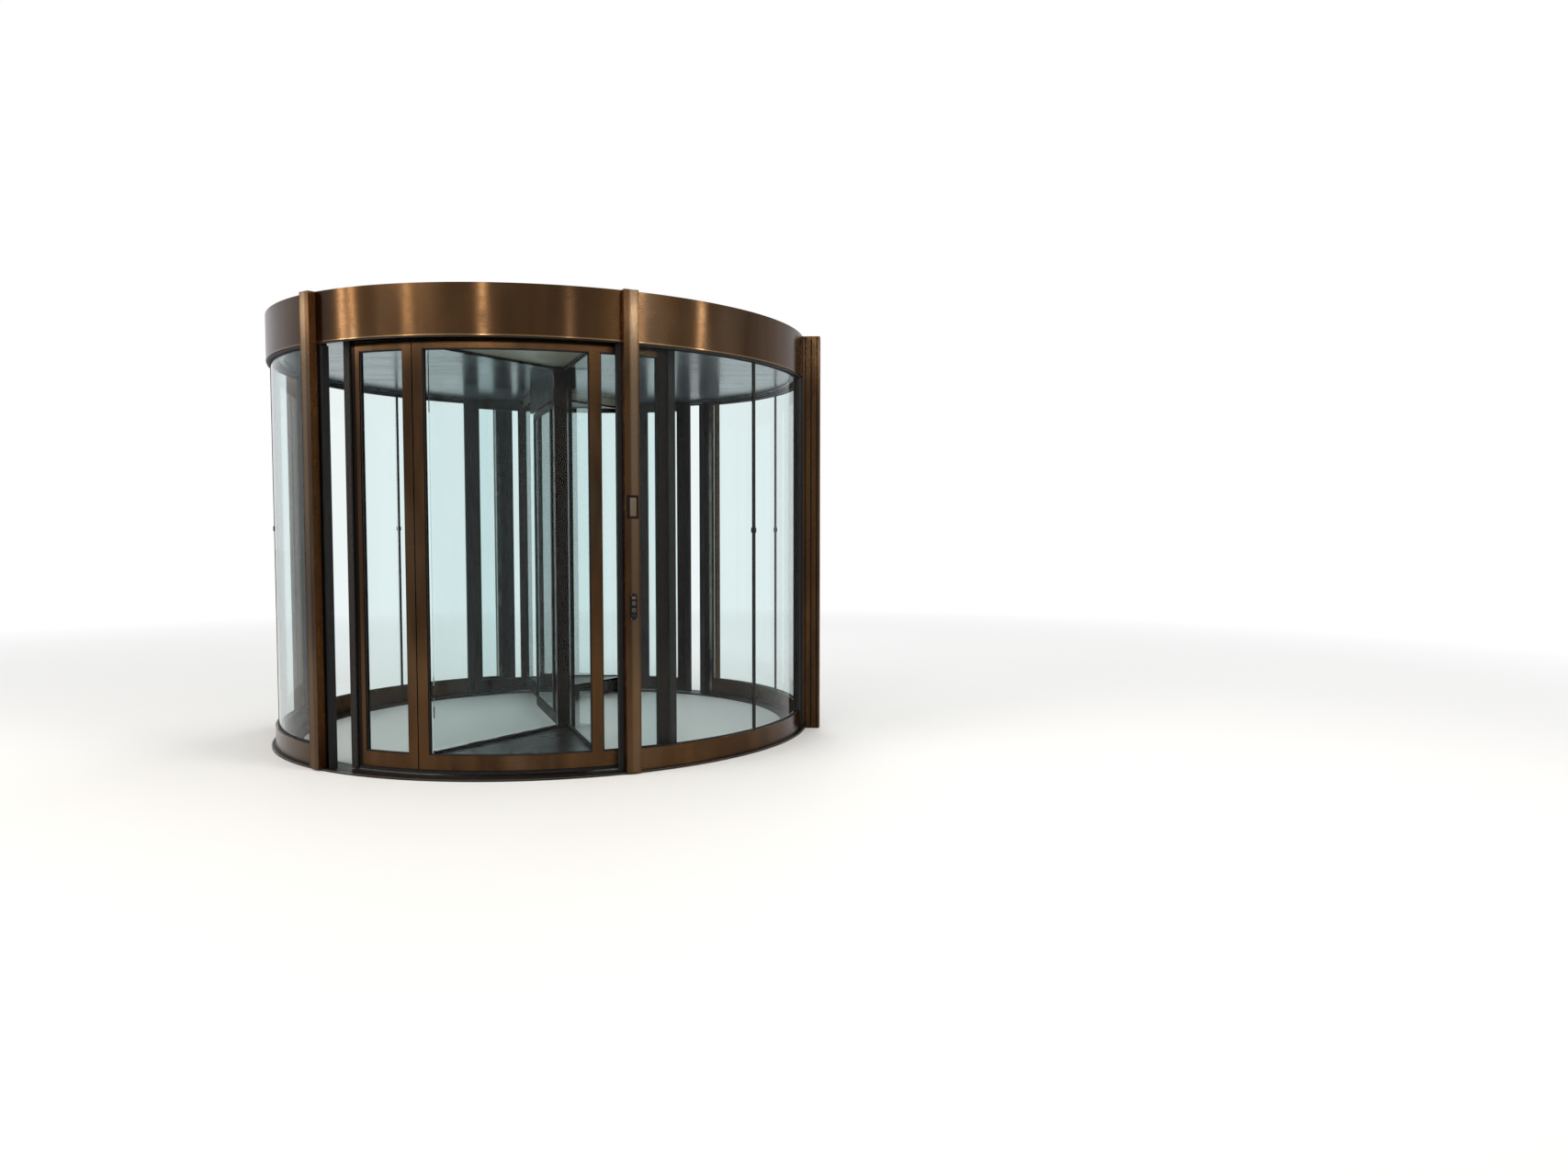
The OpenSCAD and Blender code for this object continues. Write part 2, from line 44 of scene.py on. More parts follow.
Colour = tuple[float, float, float]
Triple = tuple[float, float, float]
Pair = tuple[float, float]
Sockets = dict[str | int, object]
MIX_FACTOR, MIX_FIRST, MIX_SECOND, MIX_COLOUR = 0, 6, 7, 2


def shade(red: float, green: float, blue: float) -> Colour:
    """Return a linear colour from one that is given in 0 to 255 screen values.

    Args:
        red: Red screen value.
        green: Green screen value.
        blue: Blue screen value.

    Returns:
        The same colour in linear light.
    """

    def linear(value: float) -> float:
        """Return one channel in linear light."""
        part = value / 255
        return part / 12.92 if part <= 0.04045 else ((part + 0.055) / 1.055) ** 2.4

    return linear(red), linear(green), linear(blue)


def operator(operation: str, swapped: bool = False) -> Callable[["Tap", "Tap | float"], "Tap"]:
    """Return a method that puts a Tap and another value through one Math node.

    Args:
        operation: The node's operation.
        swapped: Whether the other value comes first.

    Returns:
        The method.
    """

    def method(self: "Tap", other: "Tap | float") -> "Tap":
        """Return the node's result."""
        values = [other, self] if swapped else [self, other]
        return self.board.add("ShaderNodeMath", {"operation": operation}, values)

    return method


class Tap:
    """One output socket of a material that plain arithmetic works on."""

    def __init__(self, board: "Board", socket: bpy.types.NodeSocket) -> None:
        """Keep the socket and the board that it is on."""
        self.board = board
        self.socket = socket

    def other(self, name: str) -> "Tap":
        """Return another output of the same node."""
        return Tap(self.board, self.socket.node.outputs[name])

    def calc(self, operation: str, *others: "Tap | float") -> "Tap":
        """Return what one Math node makes of this value and the others."""
        return self.board.add("ShaderNodeMath", {"operation": operation}, [self, *others])

    __add__ = __radd__ = operator("ADD")
    __sub__ = operator("SUBTRACT")
    __rsub__ = operator("SUBTRACT", swapped=True)
    __mul__ = __rmul__ = operator("MULTIPLY")
    __truediv__ = operator("DIVIDE")
    __rtruediv__ = operator("DIVIDE", swapped=True)
    __pow__ = operator("POWER")
    __gt__ = operator("GREATER_THAN")
    __lt__ = operator("LESS_THAN")

    def __abs__(self) -> "Tap":
        """Return the size of the value without its sign."""
        return self.calc("ABSOLUTE")

    def fit(self, low: float, high: float, bottom: float = 0.0, top: float = 1.0) -> "Tap":
        """Return the value carried from one range, low to high, to another and held inside it."""
        return self.board.add("ShaderNodeMapRange", {"clamp": True}, [self, low, high, bottom, top])

    def mix(self, first: "Tap | Colour", second: "Tap | Colour") -> "Tap":
        """Return the first colour where this value is 0, the second where it is 1."""
        values = {MIX_FACTOR: self, MIX_FIRST: first, MIX_SECOND: second}
        return self.board.add("ShaderNodeMix", {"data_type": "RGBA"}, values, MIX_COLOUR)

    def bump(self, strength: float, depth: float) -> "Tap":
        """Return the normal of a surface that this value lifts by up to the depth in metres."""
        values = {"Strength": strength, "Distance": depth, "Height": self}
        return self.board.add("ShaderNodeBump", values=values)


@dataclass(frozen=True)
class Noise:
    """How a soft noise looks: scale, finer layers, their strength, and stretch along the axes."""

    scale: float
    detail: float = 2.0
    rough: float = 0.5
    stretch: Triple = (1.0, 1.0, 1.0)


@dataclass(frozen=True)
class Spot:
    """Where a surface is: x, y and z, or azimuth, radius and height."""

    x: Tap
    y: Tap
    z: Tap

    def radius(self) -> Tap:
        """Return the distance from the door's axis."""
        return (self.x * self.x + self.y * self.y) ** 0.5

    def polar(self) -> "Spot":
        """Return the azimuth from -Y towards +X in radians, the radius and the height."""
        return Spot(self.x.calc("ARCTAN2", self.y * -1.0), self.radius(), self.z)

    def noise(self, recipe: Noise) -> Tap:
        """Return a noise between 0 and 1 that is read here.

        Args:
            recipe: How the noise looks.

        Returns:
            The noise value.
        """
        axes = zip((self.x, self.y, self.z), recipe.stretch)
        place = [axis if factor == 1.0 else axis * factor for axis, factor in axes]
        board = self.x.board
        values = {"Vector": board.add("ShaderNodeCombineXYZ", values=place), "Scale": recipe.scale}
        values |= {"Detail": recipe.detail, "Roughness": recipe.rough}
        return board.add("ShaderNodeTexNoise", {"noise_dimensions": "3D"}, values)


class Board:
    """The nodes of one material or of the world."""

    def __init__(self, owner: bpy.types.ID, output: str) -> None:
        """Start an empty node tree.

        Args:
            owner: The material or world that the nodes belong to.
            output: Type of the node that the tree ends in.
        """
        owner.use_nodes = True
        self.owner = owner
        self.tree = owner.node_tree
        self.tree.nodes.clear()
        self.output = self.tree.nodes.new(output)

    def add(
        self,
        kind: str,
        settings: dict[str, object] | None = None,
        values: Sockets | Sequence[object] | None = None,
        result: int | str = 0,
    ) -> Tap:
        """Add one node, with its settings first and then its values and links.

        Args:
            kind: The node's type.
            settings: Its own settings.
            values: Its sockets' values or links, by name or in order.
            result: Name or number of the output that is wanted.

        Returns:
            That output.
        """
        node = self.tree.nodes.new(kind)
        for key, value in (settings or {}).items():
            setattr(node, key, value)
        for key, value in values.items() if isinstance(values, dict) else enumerate(values or []):
            socket = node.inputs[key]
            if isinstance(value, Tap):
                self.tree.links.new(value.socket, socket)
            elif isinstance(value, tuple) and socket.type == "RGBA":
                socket.default_value = (*value, 1.0)
            else:
                socket.default_value = value
        return Tap(self, node.outputs[result])

    def spot(self) -> Spot:
        """Return the object's own coordinates."""
        parts = self.add("ShaderNodeSeparateXYZ", values=[self.add("ShaderNodeTexCoord", result="Object")])
        return Spot(*(parts.other(name) for name in "XYZ"))

    def looked_at(self) -> Tap:
        """Return 1 for rays from the camera, also for those that come through glass."""
        rays = self.add("ShaderNodeLightPath", result="Is Camera Ray")
        settings = {"operation": "ADD", "use_clamp": True}
        return self.add("ShaderNodeMath", settings, [rays, rays.other("Is Transmission Ray")])

    def close(self, shader: Tap) -> bpy.types.ID:
        """Link the last shader to the output and return the material or world."""
        self.tree.links.new(shader.socket, self.output.inputs["Surface"])
        return self.owner


@dataclass(frozen=True)
class Layer:
    """A noise that is held between two of its values and counts for an amount."""

    noise: Noise
    low: float
    high: float
    amount: float = 1.0

    def read(self, spot: Spot) -> Tap:
        """Return what the layer gives at a place."""
        return spot.noise(self.noise).fit(self.low, self.high) * self.amount


Layers = tuple[Layer, ...]
Relief = tuple[tuple[Noise, float], ...]


@dataclass(frozen=True)
class Finish:
    """A named finish that is made of one principled surface."""

    name: str

    def paint(self, spot: Spot) -> Sockets:
        """Return the value or link of each of the surface's sockets by name."""
        raise NotImplementedError

    def build(self) -> bpy.types.Material:
        """Return the finish as a material.

        Returns:
            The material.
        """
        board = Board(bpy.data.materials.new(self.name), "ShaderNodeOutputMaterial")
        sockets = self.paint(board.spot())
        return board.close(board.add("ShaderNodeBsdfPrincipled", values=sockets))


class Grain(Enum):
    """Which way a sheet is brushed: its hairlines, the soft zones and the turn of its shine."""

    UPRIGHT = (Noise(1.0, 3.0, 0.6, (700.0, 700.0, 3.0)), Noise(1.0, 3.0, 0.55, (5.0, 5.0, 0.9)), 0.0)
    AROUND = (Noise(1.0, 3.0, 0.6, (5.0, 700.0, 700.0)), Noise(1.0, 3.0, 0.55, (4.6, 3.0, 0.35)), 0.25)

    def __init__(self, hair: Noise, zone: Noise, turn: float) -> None:
        """Keep the three values of the option."""
        self.hair, self.zone, self.turn = hair, zone, turn

    def read(self, spot: Spot, recipe: Noise) -> Tap:
        """Return a noise that follows the grain, which may run around the door's axis."""
        return (spot.polar() if self is Grain.AROUND else spot).noise(recipe)


@dataclass(frozen=True)
class Bronze(Finish):
    """Brushed stainless sheet with a bronze tint."""

    grain: Grain
    deep: Colour = shade(58, 43, 30)
    warm: Colour = shade(90, 64, 40)
    pale: Colour = shade(108, 89, 70)
    rough: float = 0.21
    stretch: float = 0.93
    warmth: Layer = Layer(Noise(2.3, 2.0, 0.5, (1.0, 1.0, 0.4)), 0.55, 0.75, 0.5)
    smear: Layer = Layer(Noise(6.0, 4.0, 0.6), 0.45, 0.75, 0.06)
    lift: Pair = (0.05, 0.0004)

    def hairs(self, spot: Spot) -> Tap:
        """Return the hairlines that darken and roughen the sheet."""
        return self.grain.read(spot, self.grain.hair)

    def paint(self, spot: Spot) -> Sockets:
        """Return the brushed sheet, its hairlines running with the grain.

        Args:
            spot: Where the surface is.

        Returns:
            The surface's sockets.
        """
        hair = self.hairs(spot)
        tone = self.grain.read(spot, self.grain.zone).fit(0.34, 0.66).mix(self.deep, self.warm)
        tone = self.warmth.read(spot).mix(tone, self.pale)
        return {
            "Base Color": (hair.fit(0.35, 0.7) * 0.25).mix(tone, self.deep),
            "Metallic": 1.0,
            "Roughness": self.rough + hair.fit(0.3, 0.7) * 0.06 + self.smear.read(spot),
            "Anisotropic": self.stretch,
            "Anisotropic Rotation": self.grain.turn,
            "Normal": Bronze.hairs(self, spot).bump(*self.lift),
        }


@dataclass(frozen=True)
class WallBronze(Bronze):
    """Bronze of a wall post, with painted shade in its grooves and a black seal beside the curved glass."""

    seal_from: float = 2.03
    face: float = 0.0546
    groove: float = 0.004
    groove_shade_tone: Colour = shade(22, 16, 12)
    seal_tone: Colour = shade(14, 14, 15)
    seal_rough: float = 0.3

    def paint(self, spot: Spot) -> Sockets:
        """Return the brushed sheet with the painted groove shade and the seal laid over it.

        Args:
            spot: Where the surface is.

        Returns:
            The surface's sockets.
        """
        plain = super().paint(spot)
        off = abs(spot.y)
        # Painted shade: the grooves are darkened to stand in for the shade inside them.
        groove = (off < self.face) * (off > self.face - self.groove)
        seal = abs(spot.x) < self.seal_from
        return plain | {
            "Base Color": seal.mix(groove.mix(plain["Base Color"], self.groove_shade_tone), self.seal_tone),
            "Metallic": 1.0 - seal,
            "Roughness": plain["Roughness"] + seal * self.seal_rough,
        }


@dataclass(frozen=True)
class PostBronze(Bronze):
    """Bronze of a throat post: a painted grey reflection near its outer edge, a painted glow on its return
    and painted shade on its sides.
    """

    inner: float = 29.4
    outer: float = 32.1
    reflection_in: Pair = (0.9, 1.3)
    reflection_out: Pair = (0.1, 0.5)
    reflection_up: Pair = (0.1, 2.4)
    painted_reflection_tone: Colour = shade(126, 108, 88)
    painted_glow_width: float = 0.03
    painted_glow_tone: Colour = shade(108, 70, 38)
    side_shade_within: float = 2.022
    side_shade_tone: Colour = shade(28, 24, 21)
    strip_within: float = 1.951
    strip_width: float = 0.9
    strip_tone: Colour = shade(122, 114, 106)

    def paint(self, spot: Spot) -> Sockets:
        """Return the brushed sheet, changed along the post's section.

        Args:
            spot: Where the surface is.

        Returns:
            The surface's sockets.
        """
        plain = super().paint(spot)
        degrees = abs(spot.x).calc("ARCTAN2", abs(spot.y)) * math.degrees(1.0)
        # Painted reflection: a pale grey band near the outer edge, paler towards the top, stands in for lamps
        # and ceiling mirrored in the bronze.
        grey = degrees.fit(*(self.inner + step for step in self.reflection_in))
        grey = grey * degrees.fit(*(self.outer - step for step in self.reflection_out))
        tone = (grey * spot.z.fit(*self.reflection_up, 0.2, 0.65)).mix(plain["Base Color"], self.painted_reflection_tone)
        # Painted glow: a warm, brighter strip on the return face stands in for light falling on it.
        glow = degrees < self.inner + self.painted_glow_width
        tone = (glow * 0.7).mix(tone, self.painted_glow_tone)
        radius = spot.radius()
        # Painted shade: the post's sides and inner face inside this radius are darkened to near black.
        tone = (radius < self.side_shade_within).mix(tone, self.side_shade_tone)
        strip = (radius < self.strip_within) * (degrees > self.outer - self.strip_width)
        return plain | {"Base Color": strip.mix(tone, self.strip_tone)}


@dataclass(frozen=True)
class FrameBronze(Bronze):
    """Bronze of the rotor's frames: painted shade on their inner faces, near black at their ends, pale under
    a case's ceiling.
    """

    inner_shade_within: float = 1.9265
    inner_shade_tone: Colour = shade(36, 28, 23)
    rail_top: float = 0.1405
    head_low: float = 2.7215
    soffit_from: float = 2.7525
    soffit_within: float = 1.8885
    soffit_tone: Colour = shade(168, 163, 146)
    rest: float = 8.4
    left_dark: float = -30.7
    right_dark: float = 29.0
    end_tone: Colour = shade(30, 24, 20)

    def hairs(self, spot: Spot) -> Tap:
        """Return the hairlines, upright on the stiles and around on the rails.

        Args:
            spot: Where the surface is.

        Returns:
            The hairlines.
        """
        rail = (spot.z < self.rail_top) + (spot.z > self.head_low)
        around = Grain.AROUND.read(spot, Grain.AROUND.hair)
        return around * rail + super().hairs(spot) * (1.0 - rail)

    def paint(self, spot: Spot) -> Sockets:
        """Return the brushed sheet, changed by azimuth, radius and height.

        Args:
            spot: Where the surface is.

        Returns:
            The surface's sockets.
        """
        plain = super().paint(spot)
        rest, left, right = (math.radians(turn) for turn in (self.rest, self.left_dark, self.right_dark))
        cosine, sine = math.cos(rest), math.sin(rest)
        slope = (spot.x * cosine + spot.y * sine) / (spot.x * sine - spot.y * cosine)
        ends = (slope < math.tan(left)) + (slope > math.tan(right))
        radius = spot.radius()
        tone = ends.fit(0.0, 1.0).mix(plain["Base Color"], self.end_tone)
        # Painted shade: faces inside this radius, which face the middle of the door, are darkened to near
        # black.
        tone = (radius < self.inner_shade_within).mix(tone, self.inner_shade_tone)
        soffit = (spot.z > self.soffit_from) * (radius < self.soffit_within)
        return plain | {
            "Base Color": soffit.mix(tone, self.soffit_tone),
            "Metallic": 1.0 - soffit * 0.9,
            "Roughness": plain["Roughness"] + soffit * 0.1,
        }


@dataclass(frozen=True)
class Coat(Finish):
    """Two tones that one layer shares out, with more layers that roughen and lift the surface."""

    base: Colour
    other: Colour
    share: Layer
    rough: float
    roughen: Layers = ()
    relief: Relief = ()
    lift: Pair = (0.0, 0.0)
    shine: float = 0.5
    metal: float = 0.0

    def sharing(self, spot: Spot) -> Tap:
        """Return how far the second tone takes over."""
        return self.share.read(spot)

    def height(self, spot: Spot) -> Tap:
        """Return the height that the bump follows."""
        return sum((spot.noise(noise) * weight for noise, weight in self.relief), 0.0)

    def paint(self, spot: Spot) -> Sockets:
        """Return the tone, the roughness and the bump that the layers give.

        Args:
            spot: Where the surface is.

        Returns:
            The surface's sockets.
        """
        sockets = {
            "Base Color": self.sharing(spot).mix(self.base, self.other),
            "Metallic": self.metal,
            "Roughness": sum((layer.read(spot) for layer in self.roughen), self.rough),
            "Specular IOR Level": self.shine,
        }
        if self.relief:
            sockets["Normal"] = self.height(spot).bump(*self.lift)
        return sockets


CLOUD, SPECK, FINE, MARKS = Noise(3.5, 4.0, 0.6), Noise(900.0), Noise(700.0), Noise(500.0)
RIM_CLOUD, BLOOM, HAZE = Noise(3.0, 4.0, 0.6), Noise(9.0, 4.0, 0.6), Noise(5.0, 4.0, 0.65, (1.0, 1.0, 0.4))
SCUFF, LINES = Noise(14.0, 5.0, 0.65), Noise(1.0, 3.0, 0.6, (6.0, 500.0, 0.0))
HAIR, CLUMP = Noise(1.0, stretch=(900.0, 900.0, 60.0)), Noise(1.0, stretch=(60.0, 60.0, 40.0))
SOFT, SMEAR = Noise(1.7, 3.0, 0.55), Noise(1.0, 3.0, 0.6, (1.6, 9.0, 1.0))


@dataclass(frozen=True)
class Satin(Coat):
    """Dark satin coating with a fine texture and a little dust in soft patches."""

    base: Colour = shade(24, 22, 21)
    other: Colour = shade(48, 44, 40)
    share: Layer = Layer(CLOUD, 0.5, 0.8, 0.3)
    rough: float = 0.38
    roughen: Layers = (Layer(CLOUD, 0.35, 0.7, 0.14), Layer(SPECK, 0.4, 0.6, 0.04))
    relief: Relief = ((SPECK, 1.0),)
    lift: Pair = (0.08, 0.0003)
    shine: float = 0.2


@dataclass(frozen=True)
class Rim(Coat):
    """Dark coated ring whose underside, below one height, is painted in the ceiling's grey."""

    base: Colour = shade(24, 23, 23)
    other: Colour = shade(60, 57, 52)
    share: Layer = Layer(RIM_CLOUD, 0.5, 0.8, 0.3)
    rough: float = 0.42
    roughen: Layers = (Layer(RIM_CLOUD, 0.35, 0.7, 0.1),)
    relief: Relief = ((FINE, 1.0),)
    lift: Pair = (0.06, 0.0003)
    low: float = 2.8006
    grey: Colour = shade(128, 136, 142)
    grey_other: Colour = shade(108, 118, 126)
    grey_share: Layer = Layer(RIM_CLOUD, 0.35, 0.7, 0.4)

    def paint(self, spot: Spot) -> Sockets:
        """Return the coat with the painted underside.

        Args:
            spot: Where the surface is.

        Returns:
            The surface's sockets.
        """
        plain = super().paint(spot)
        under = spot.z < self.low
        pale = self.grey_share.read(spot).mix(self.grey, self.grey_other)
        return plain | {
            "Base Color": under.mix(plain["Base Color"], pale),
            "Metallic": under * 0.5,
            "Roughness": plain["Roughness"] - under * 0.2,
        }


@dataclass(frozen=True)
class Threshold(Coat):
    """Worn dark floor ring with a polished rim on its top and a black outer wall."""

    base: Colour = shade(40, 36, 32)
    other: Colour = shade(92, 82, 68)
    share: Layer = Layer(SCUFF, 0.55, 0.75, 0.5)
    rough: float = 0.42
    roughen: Layers = (Layer(SCUFF, 0.3, 0.7, 0.12),)
    relief: Relief = ((LINES, 1.0),)
    lift: Pair = (0.1, 0.0005)
    edge_radius: float = 2.0435
    outside: float = 2.0494
    top: float = 0.0118
    bright: Colour = shade(150, 138, 118)
    black: Colour = shade(16, 15, 15)

    def height(self, spot: Spot) -> Tap:
        """Return the fine lines that run around the ring."""
        return super().height(spot.polar())

    def paint(self, spot: Spot) -> Sockets:
        """Return the worn coat with the rim and the outer wall.

        Args:
            spot: Where the surface is.

        Returns:
            The surface's sockets.
        """
        plain = super().paint(spot)
        edge = (spot.radius() > self.edge_radius) * (spot.z > self.top)
        wall = (spot.radius() > self.outside) * (spot.z < self.top)
        return plain | {
            "Base Color": wall.mix(edge.mix(plain["Base Color"], self.bright), self.black),
            "Metallic": 0.75 - wall * 0.6,
            "Roughness": plain["Roughness"] - edge * 0.14,
        }


@dataclass(frozen=True)
class Rubber(Coat):
    """Matt black rubber with shallow ribs along its length, so many to a metre."""

    base: Colour = shade(20, 20, 21)
    other: Colour = shade(46, 45, 44)
    share: Layer = Layer(BLOOM, 0.5, 0.8, 0.5)
    rough: float = 0.62
    roughen: Layers = (Layer(BLOOM, 0.3, 0.7, 0.2),)
    relief: Relief = ((Noise(450.0), 0.4),)
    lift: Pair = (0.3, 0.0006)
    shine: float = 0.35
    ribs: float = 260.0

    def height(self, spot: Spot) -> Tap:
        """Return the ribs with the fine texture on them."""
        rib = (spot.radius() * (self.ribs * math.tau)).calc("SINE").fit(-1.0, 1.0)
        return rib * 0.6 + super().height(spot)


@dataclass(frozen=True)
class Bristle(Coat):
    """Dense dark brush bristles, which stand upright in clumps."""

    base: Colour = shade(18, 18, 19)
    other: Colour = shade(58, 54, 50)
    share: Layer = Layer(HAIR, 0.4, 0.7)
    rough: float = 0.8
    relief: Relief = ((HAIR, 0.7), (CLUMP, 0.3))
    lift: Pair = (0.6, 0.002)
    shine: float = 0.2


@dataclass(frozen=True)
class Glass(Coat):
    """Clear safety glass with a faint blue-green tint and a faint haze of wiping."""

    base: Colour = (0.865, 0.93, 0.93)
    other: Colour = (0.83, 0.90, 0.905)
    share: Layer = Layer(HAZE, 0.45, 0.8, 0.35)
    rough: float = 0.0
    roughen: Layers = (Layer(HAZE, 0.5, 0.85, 0.004),)
    bend: float = 1.18

    def paint(self, spot: Spot) -> Sockets:
        """Return the coat as clear glass."""
        return super().paint(spot) | {"Transmission Weight": 1.0, "IOR": self.bend}


@dataclass(frozen=True)
class Panel(Coat):
    """Glossy grey sheets laid side by side along Y, with narrow joints and painted light that grows towards a
    rim.
    """

    base: Colour = shade(84, 90, 96)
    other: Colour = shade(124, 134, 142)
    share: Layer = Layer(SOFT, 0.35, 0.7, 0.2)
    rough: float = 0.18
    roughen: Layers = (Layer(SMEAR, 0.4, 0.75, 0.1),)
    relief: Relief = ((SOFT, 0.4),)
    lift: Pair = (0.12, 0.002)
    shine: float = 0.3
    metal: float = 0.3
    pitch: float = 0.62
    joint: Colour = shade(34, 36, 39)
    joint_half: float = 0.0035
    painted_light_from: Pair = (1.0, 1.95)

    def seam(self, spot: Spot) -> Tap:
        """Return 1 in the joints."""
        return abs((spot.y / self.pitch).calc("FRACT") - 0.5) < self.joint_half / self.pitch

    def sharing(self, spot: Spot) -> Tap:
        """Return the share of the paler tone: painted light that grows towards the rim, plus soft random
        patches.
        """
        # Painted light: the sheets turn paler towards the rim, where light from outside falls on them and is
        # mirrored.
        return spot.radius().fit(*self.painted_light_from) * 0.8 + super().sharing(spot)

    def height(self, spot: Spot) -> Tap:
        """Return the soft waves with the joints sunk in."""
        return super().height(spot) - self.seam(spot) * 0.6

    def paint(self, spot: Spot) -> Sockets:
        """Return the coat with its dark joints."""
        plain = super().paint(spot)
        return plain | {"Base Color": self.seam(spot).mix(plain["Base Color"], self.joint)}


@dataclass(frozen=True)
class Steel(Coat):
    """Plain machined steel with fine tool marks and faint stains."""

    base: Colour = shade(168, 168, 166)
    other: Colour = shade(118, 112, 102)
    share: Layer = Layer(Noise(11.0, 4.0, 0.6), 0.45, 0.75, 0.5)
    rough: float = 0.3
    roughen: Layers = (Layer(MARKS, 0.3, 0.7, 0.12),)
    relief: Relief = ((MARKS, 1.0),)
    lift: Pair = (0.06, 0.0003)
    metal: float = 1.0


@dataclass(frozen=True)
class Lens(Coat):
    """Tinted signal lens in a control panel, with a faint glow."""

    base: Colour = shade(96, 18, 14)
    other: Colour = (0.01, 0.01, 0.01)
    share: Layer = Layer(FINE, 0.3, 0.7, 0.4)
    rough: float = 0.15
    glow: float = 0.08

    def paint(self, spot: Spot) -> Sockets:
        """Return the coat under a clear coat, glowing in its own tone."""
        plain = super().paint(spot) | {"Coat Weight": 1.0, "Emission Strength": self.glow}
        return plain | {"Emission Color": plain["Base Color"]}


class Slot(Enum):
    """The record's material slots that the trim uses."""

    BRONZE = "bronze"
    BLACK = "black"
    RUBBER = "rubber"
    PALE = "pale"
    STEEL = "steel"


SMOOTH_BELOW = math.radians(32.0)
DOOR_HEADING = -64.3
SPIN_STEP = 1.2
SIGNS = (-1.0, 1.0)
HALVES = (0.0, 180.0)
FACE_UP = Matrix.Rotation(math.radians(-90.0), 4, "X")
GASKET_GAP = 0.0004


def link(name: str, data: bpy.types.ID) -> bpy.types.Object:
    """Put an object into the scene.

    Args:
        name: Name of the object.
        data: Its mesh, light or camera.

    Returns:
        The object.
    """
    thing = bpy.data.objects.new(name, data)
    bpy.context.scene.collection.objects.link(thing)
    return thing


def link_mesh(name: str, mesh: bmesh.types.BMesh, material: bpy.types.Material) -> bpy.types.Object:
    """Turn a bmesh into an object of one material, and free the bmesh.

    Args:
        name: Name of the object.
        mesh: The bmesh.
        material: The material.

    Returns:
        The object.
    """
    data = bpy.data.meshes.new(name)
    mesh.to_mesh(data)
    mesh.free()
    data.materials.append(material)
    return link(name, data)


@dataclass
class Workshop:
    """Materials that are made once, and what turns a bmesh into a piece."""

    materials: dict[str, bpy.types.Material] = field(default_factory=dict)

    def material(self, finish: Finish) -> bpy.types.Material:
        """Return the material of a finish, made the first time it is asked for.

        Args:
            finish: The finish.

        Returns:
            Its material.
        """
        if finish.name not in self.materials:
            self.materials[finish.name] = finish.build()
        return self.materials[finish.name]

    def dress(self, finish: Finish, *starts: str) -> None:
        """Give a finish to the CAD nodes whose names start so.

        Args:
            finish: The finish.
            starts: Whole names, or beginnings that several nodes share.
        """
        for name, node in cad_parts.items():
            if name.startswith(starts):
                node.data.materials.clear()
                node.data.materials.append(self.material(finish))
                LOG.info("finish %s on %s", finish.name, name)

    def piece(
        self, name: str, mesh: bmesh.types.BMesh, finish: Finish, slot: Slot, body: str = "drum"
    ) -> None:
        """Turn a bmesh into a named piece that rides on a body.

        Args:
            name: Name of the piece.
            mesh: Its bmesh, in the shared frame.
            finish: Its finish.
            slot: The record's slot for the piece; not used.
            body: The CAD body it moves with.
        """
        bmesh.ops.remove_doubles(mesh, verts=mesh.verts, dist=1e-6)
        bmesh.ops.recalc_face_normals(mesh, faces=mesh.faces)
        for face in mesh.faces:
            face.smooth = True
        for edge in mesh.edges:
            faces = edge.link_faces
            edge.smooth = len(faces) == 2 and faces[0].normal.angle(faces[1].normal, 0.0) < SMOOTH_BELOW
        count = len(mesh.faces)
        thing = link_mesh(name, mesh, self.material(finish))
        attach(thing, body)
        LOG.info("piece %s, %d faces, on %s", name, count, body)


def shifted(place: Matrix, x: float = 0.0, y: float = 0.0, z: float = 0.0) -> Matrix:
    """Return a place moved along its own axes."""
    return place @ Matrix.Translation((x, y, z))


def at_azimuth(azimuth: float, radius: float, height: float) -> Matrix:
    """Return a place at an azimuth, in degrees from -Y towards +X, with its -Y pointing outwards."""
    return shifted(Matrix.Rotation(math.radians(azimuth), 4, "Z"), 0.0, -radius, height)


def on_door_line(along: float, across: float, height: float, half: float = 0.0) -> Matrix:
    """Return a place in the door line's own directions: x along the line, y square to it.

    Args:
        along: Distance from the axis along the line in metres.
        across: Distance from the line in metres, away from the front case.
        height: Height above the floor in metres.
        half: 180 for the back half of the rotor.

    Returns:
        The placing matrix.
    """
    turn = Matrix.Rotation(math.radians(DOOR_HEADING + half), 4, "Z")
    return shifted(turn, along, across, height)


def sweep(mesh: bmesh.types.BMesh, outline: Sequence[Pair], start: float, end: float) -> None:
    """Spin a closed outline of radius and height about the axis, and close its ends.

    Args:
        mesh: The bmesh to add to.
        outline: Points of radius and height in metres.
        start: First azimuth in degrees.
        end: Last azimuth in degrees.
    """
    turn = Matrix.Rotation(math.radians(start), 4, "Z")
    verts = [mesh.verts.new(turn @ Vector((0.0, -radius, height))) for radius, height in outline]
    edges = [mesh.edges.new((verts[i - 1], verts[i])) for i in range(len(verts))]
    full = end - start >= 360.0
    made = bmesh.ops.spin(
        mesh,
        geom=verts + edges,
        cent=(0.0, 0.0, 0.0),
        axis=(0.0, 0.0, 1.0),
        angle=math.radians(end - start),
        steps=max(3, round((end - start) / SPIN_STEP)),
        use_merge=full,
    )
    if not full:
        last = [item for item in made["geom_last"] if isinstance(item, bmesh.types.BMEdge)]
        bmesh.ops.holes_fill(mesh, edges=edges, sides=0)
        bmesh.ops.holes_fill(mesh, edges=last, sides=0)


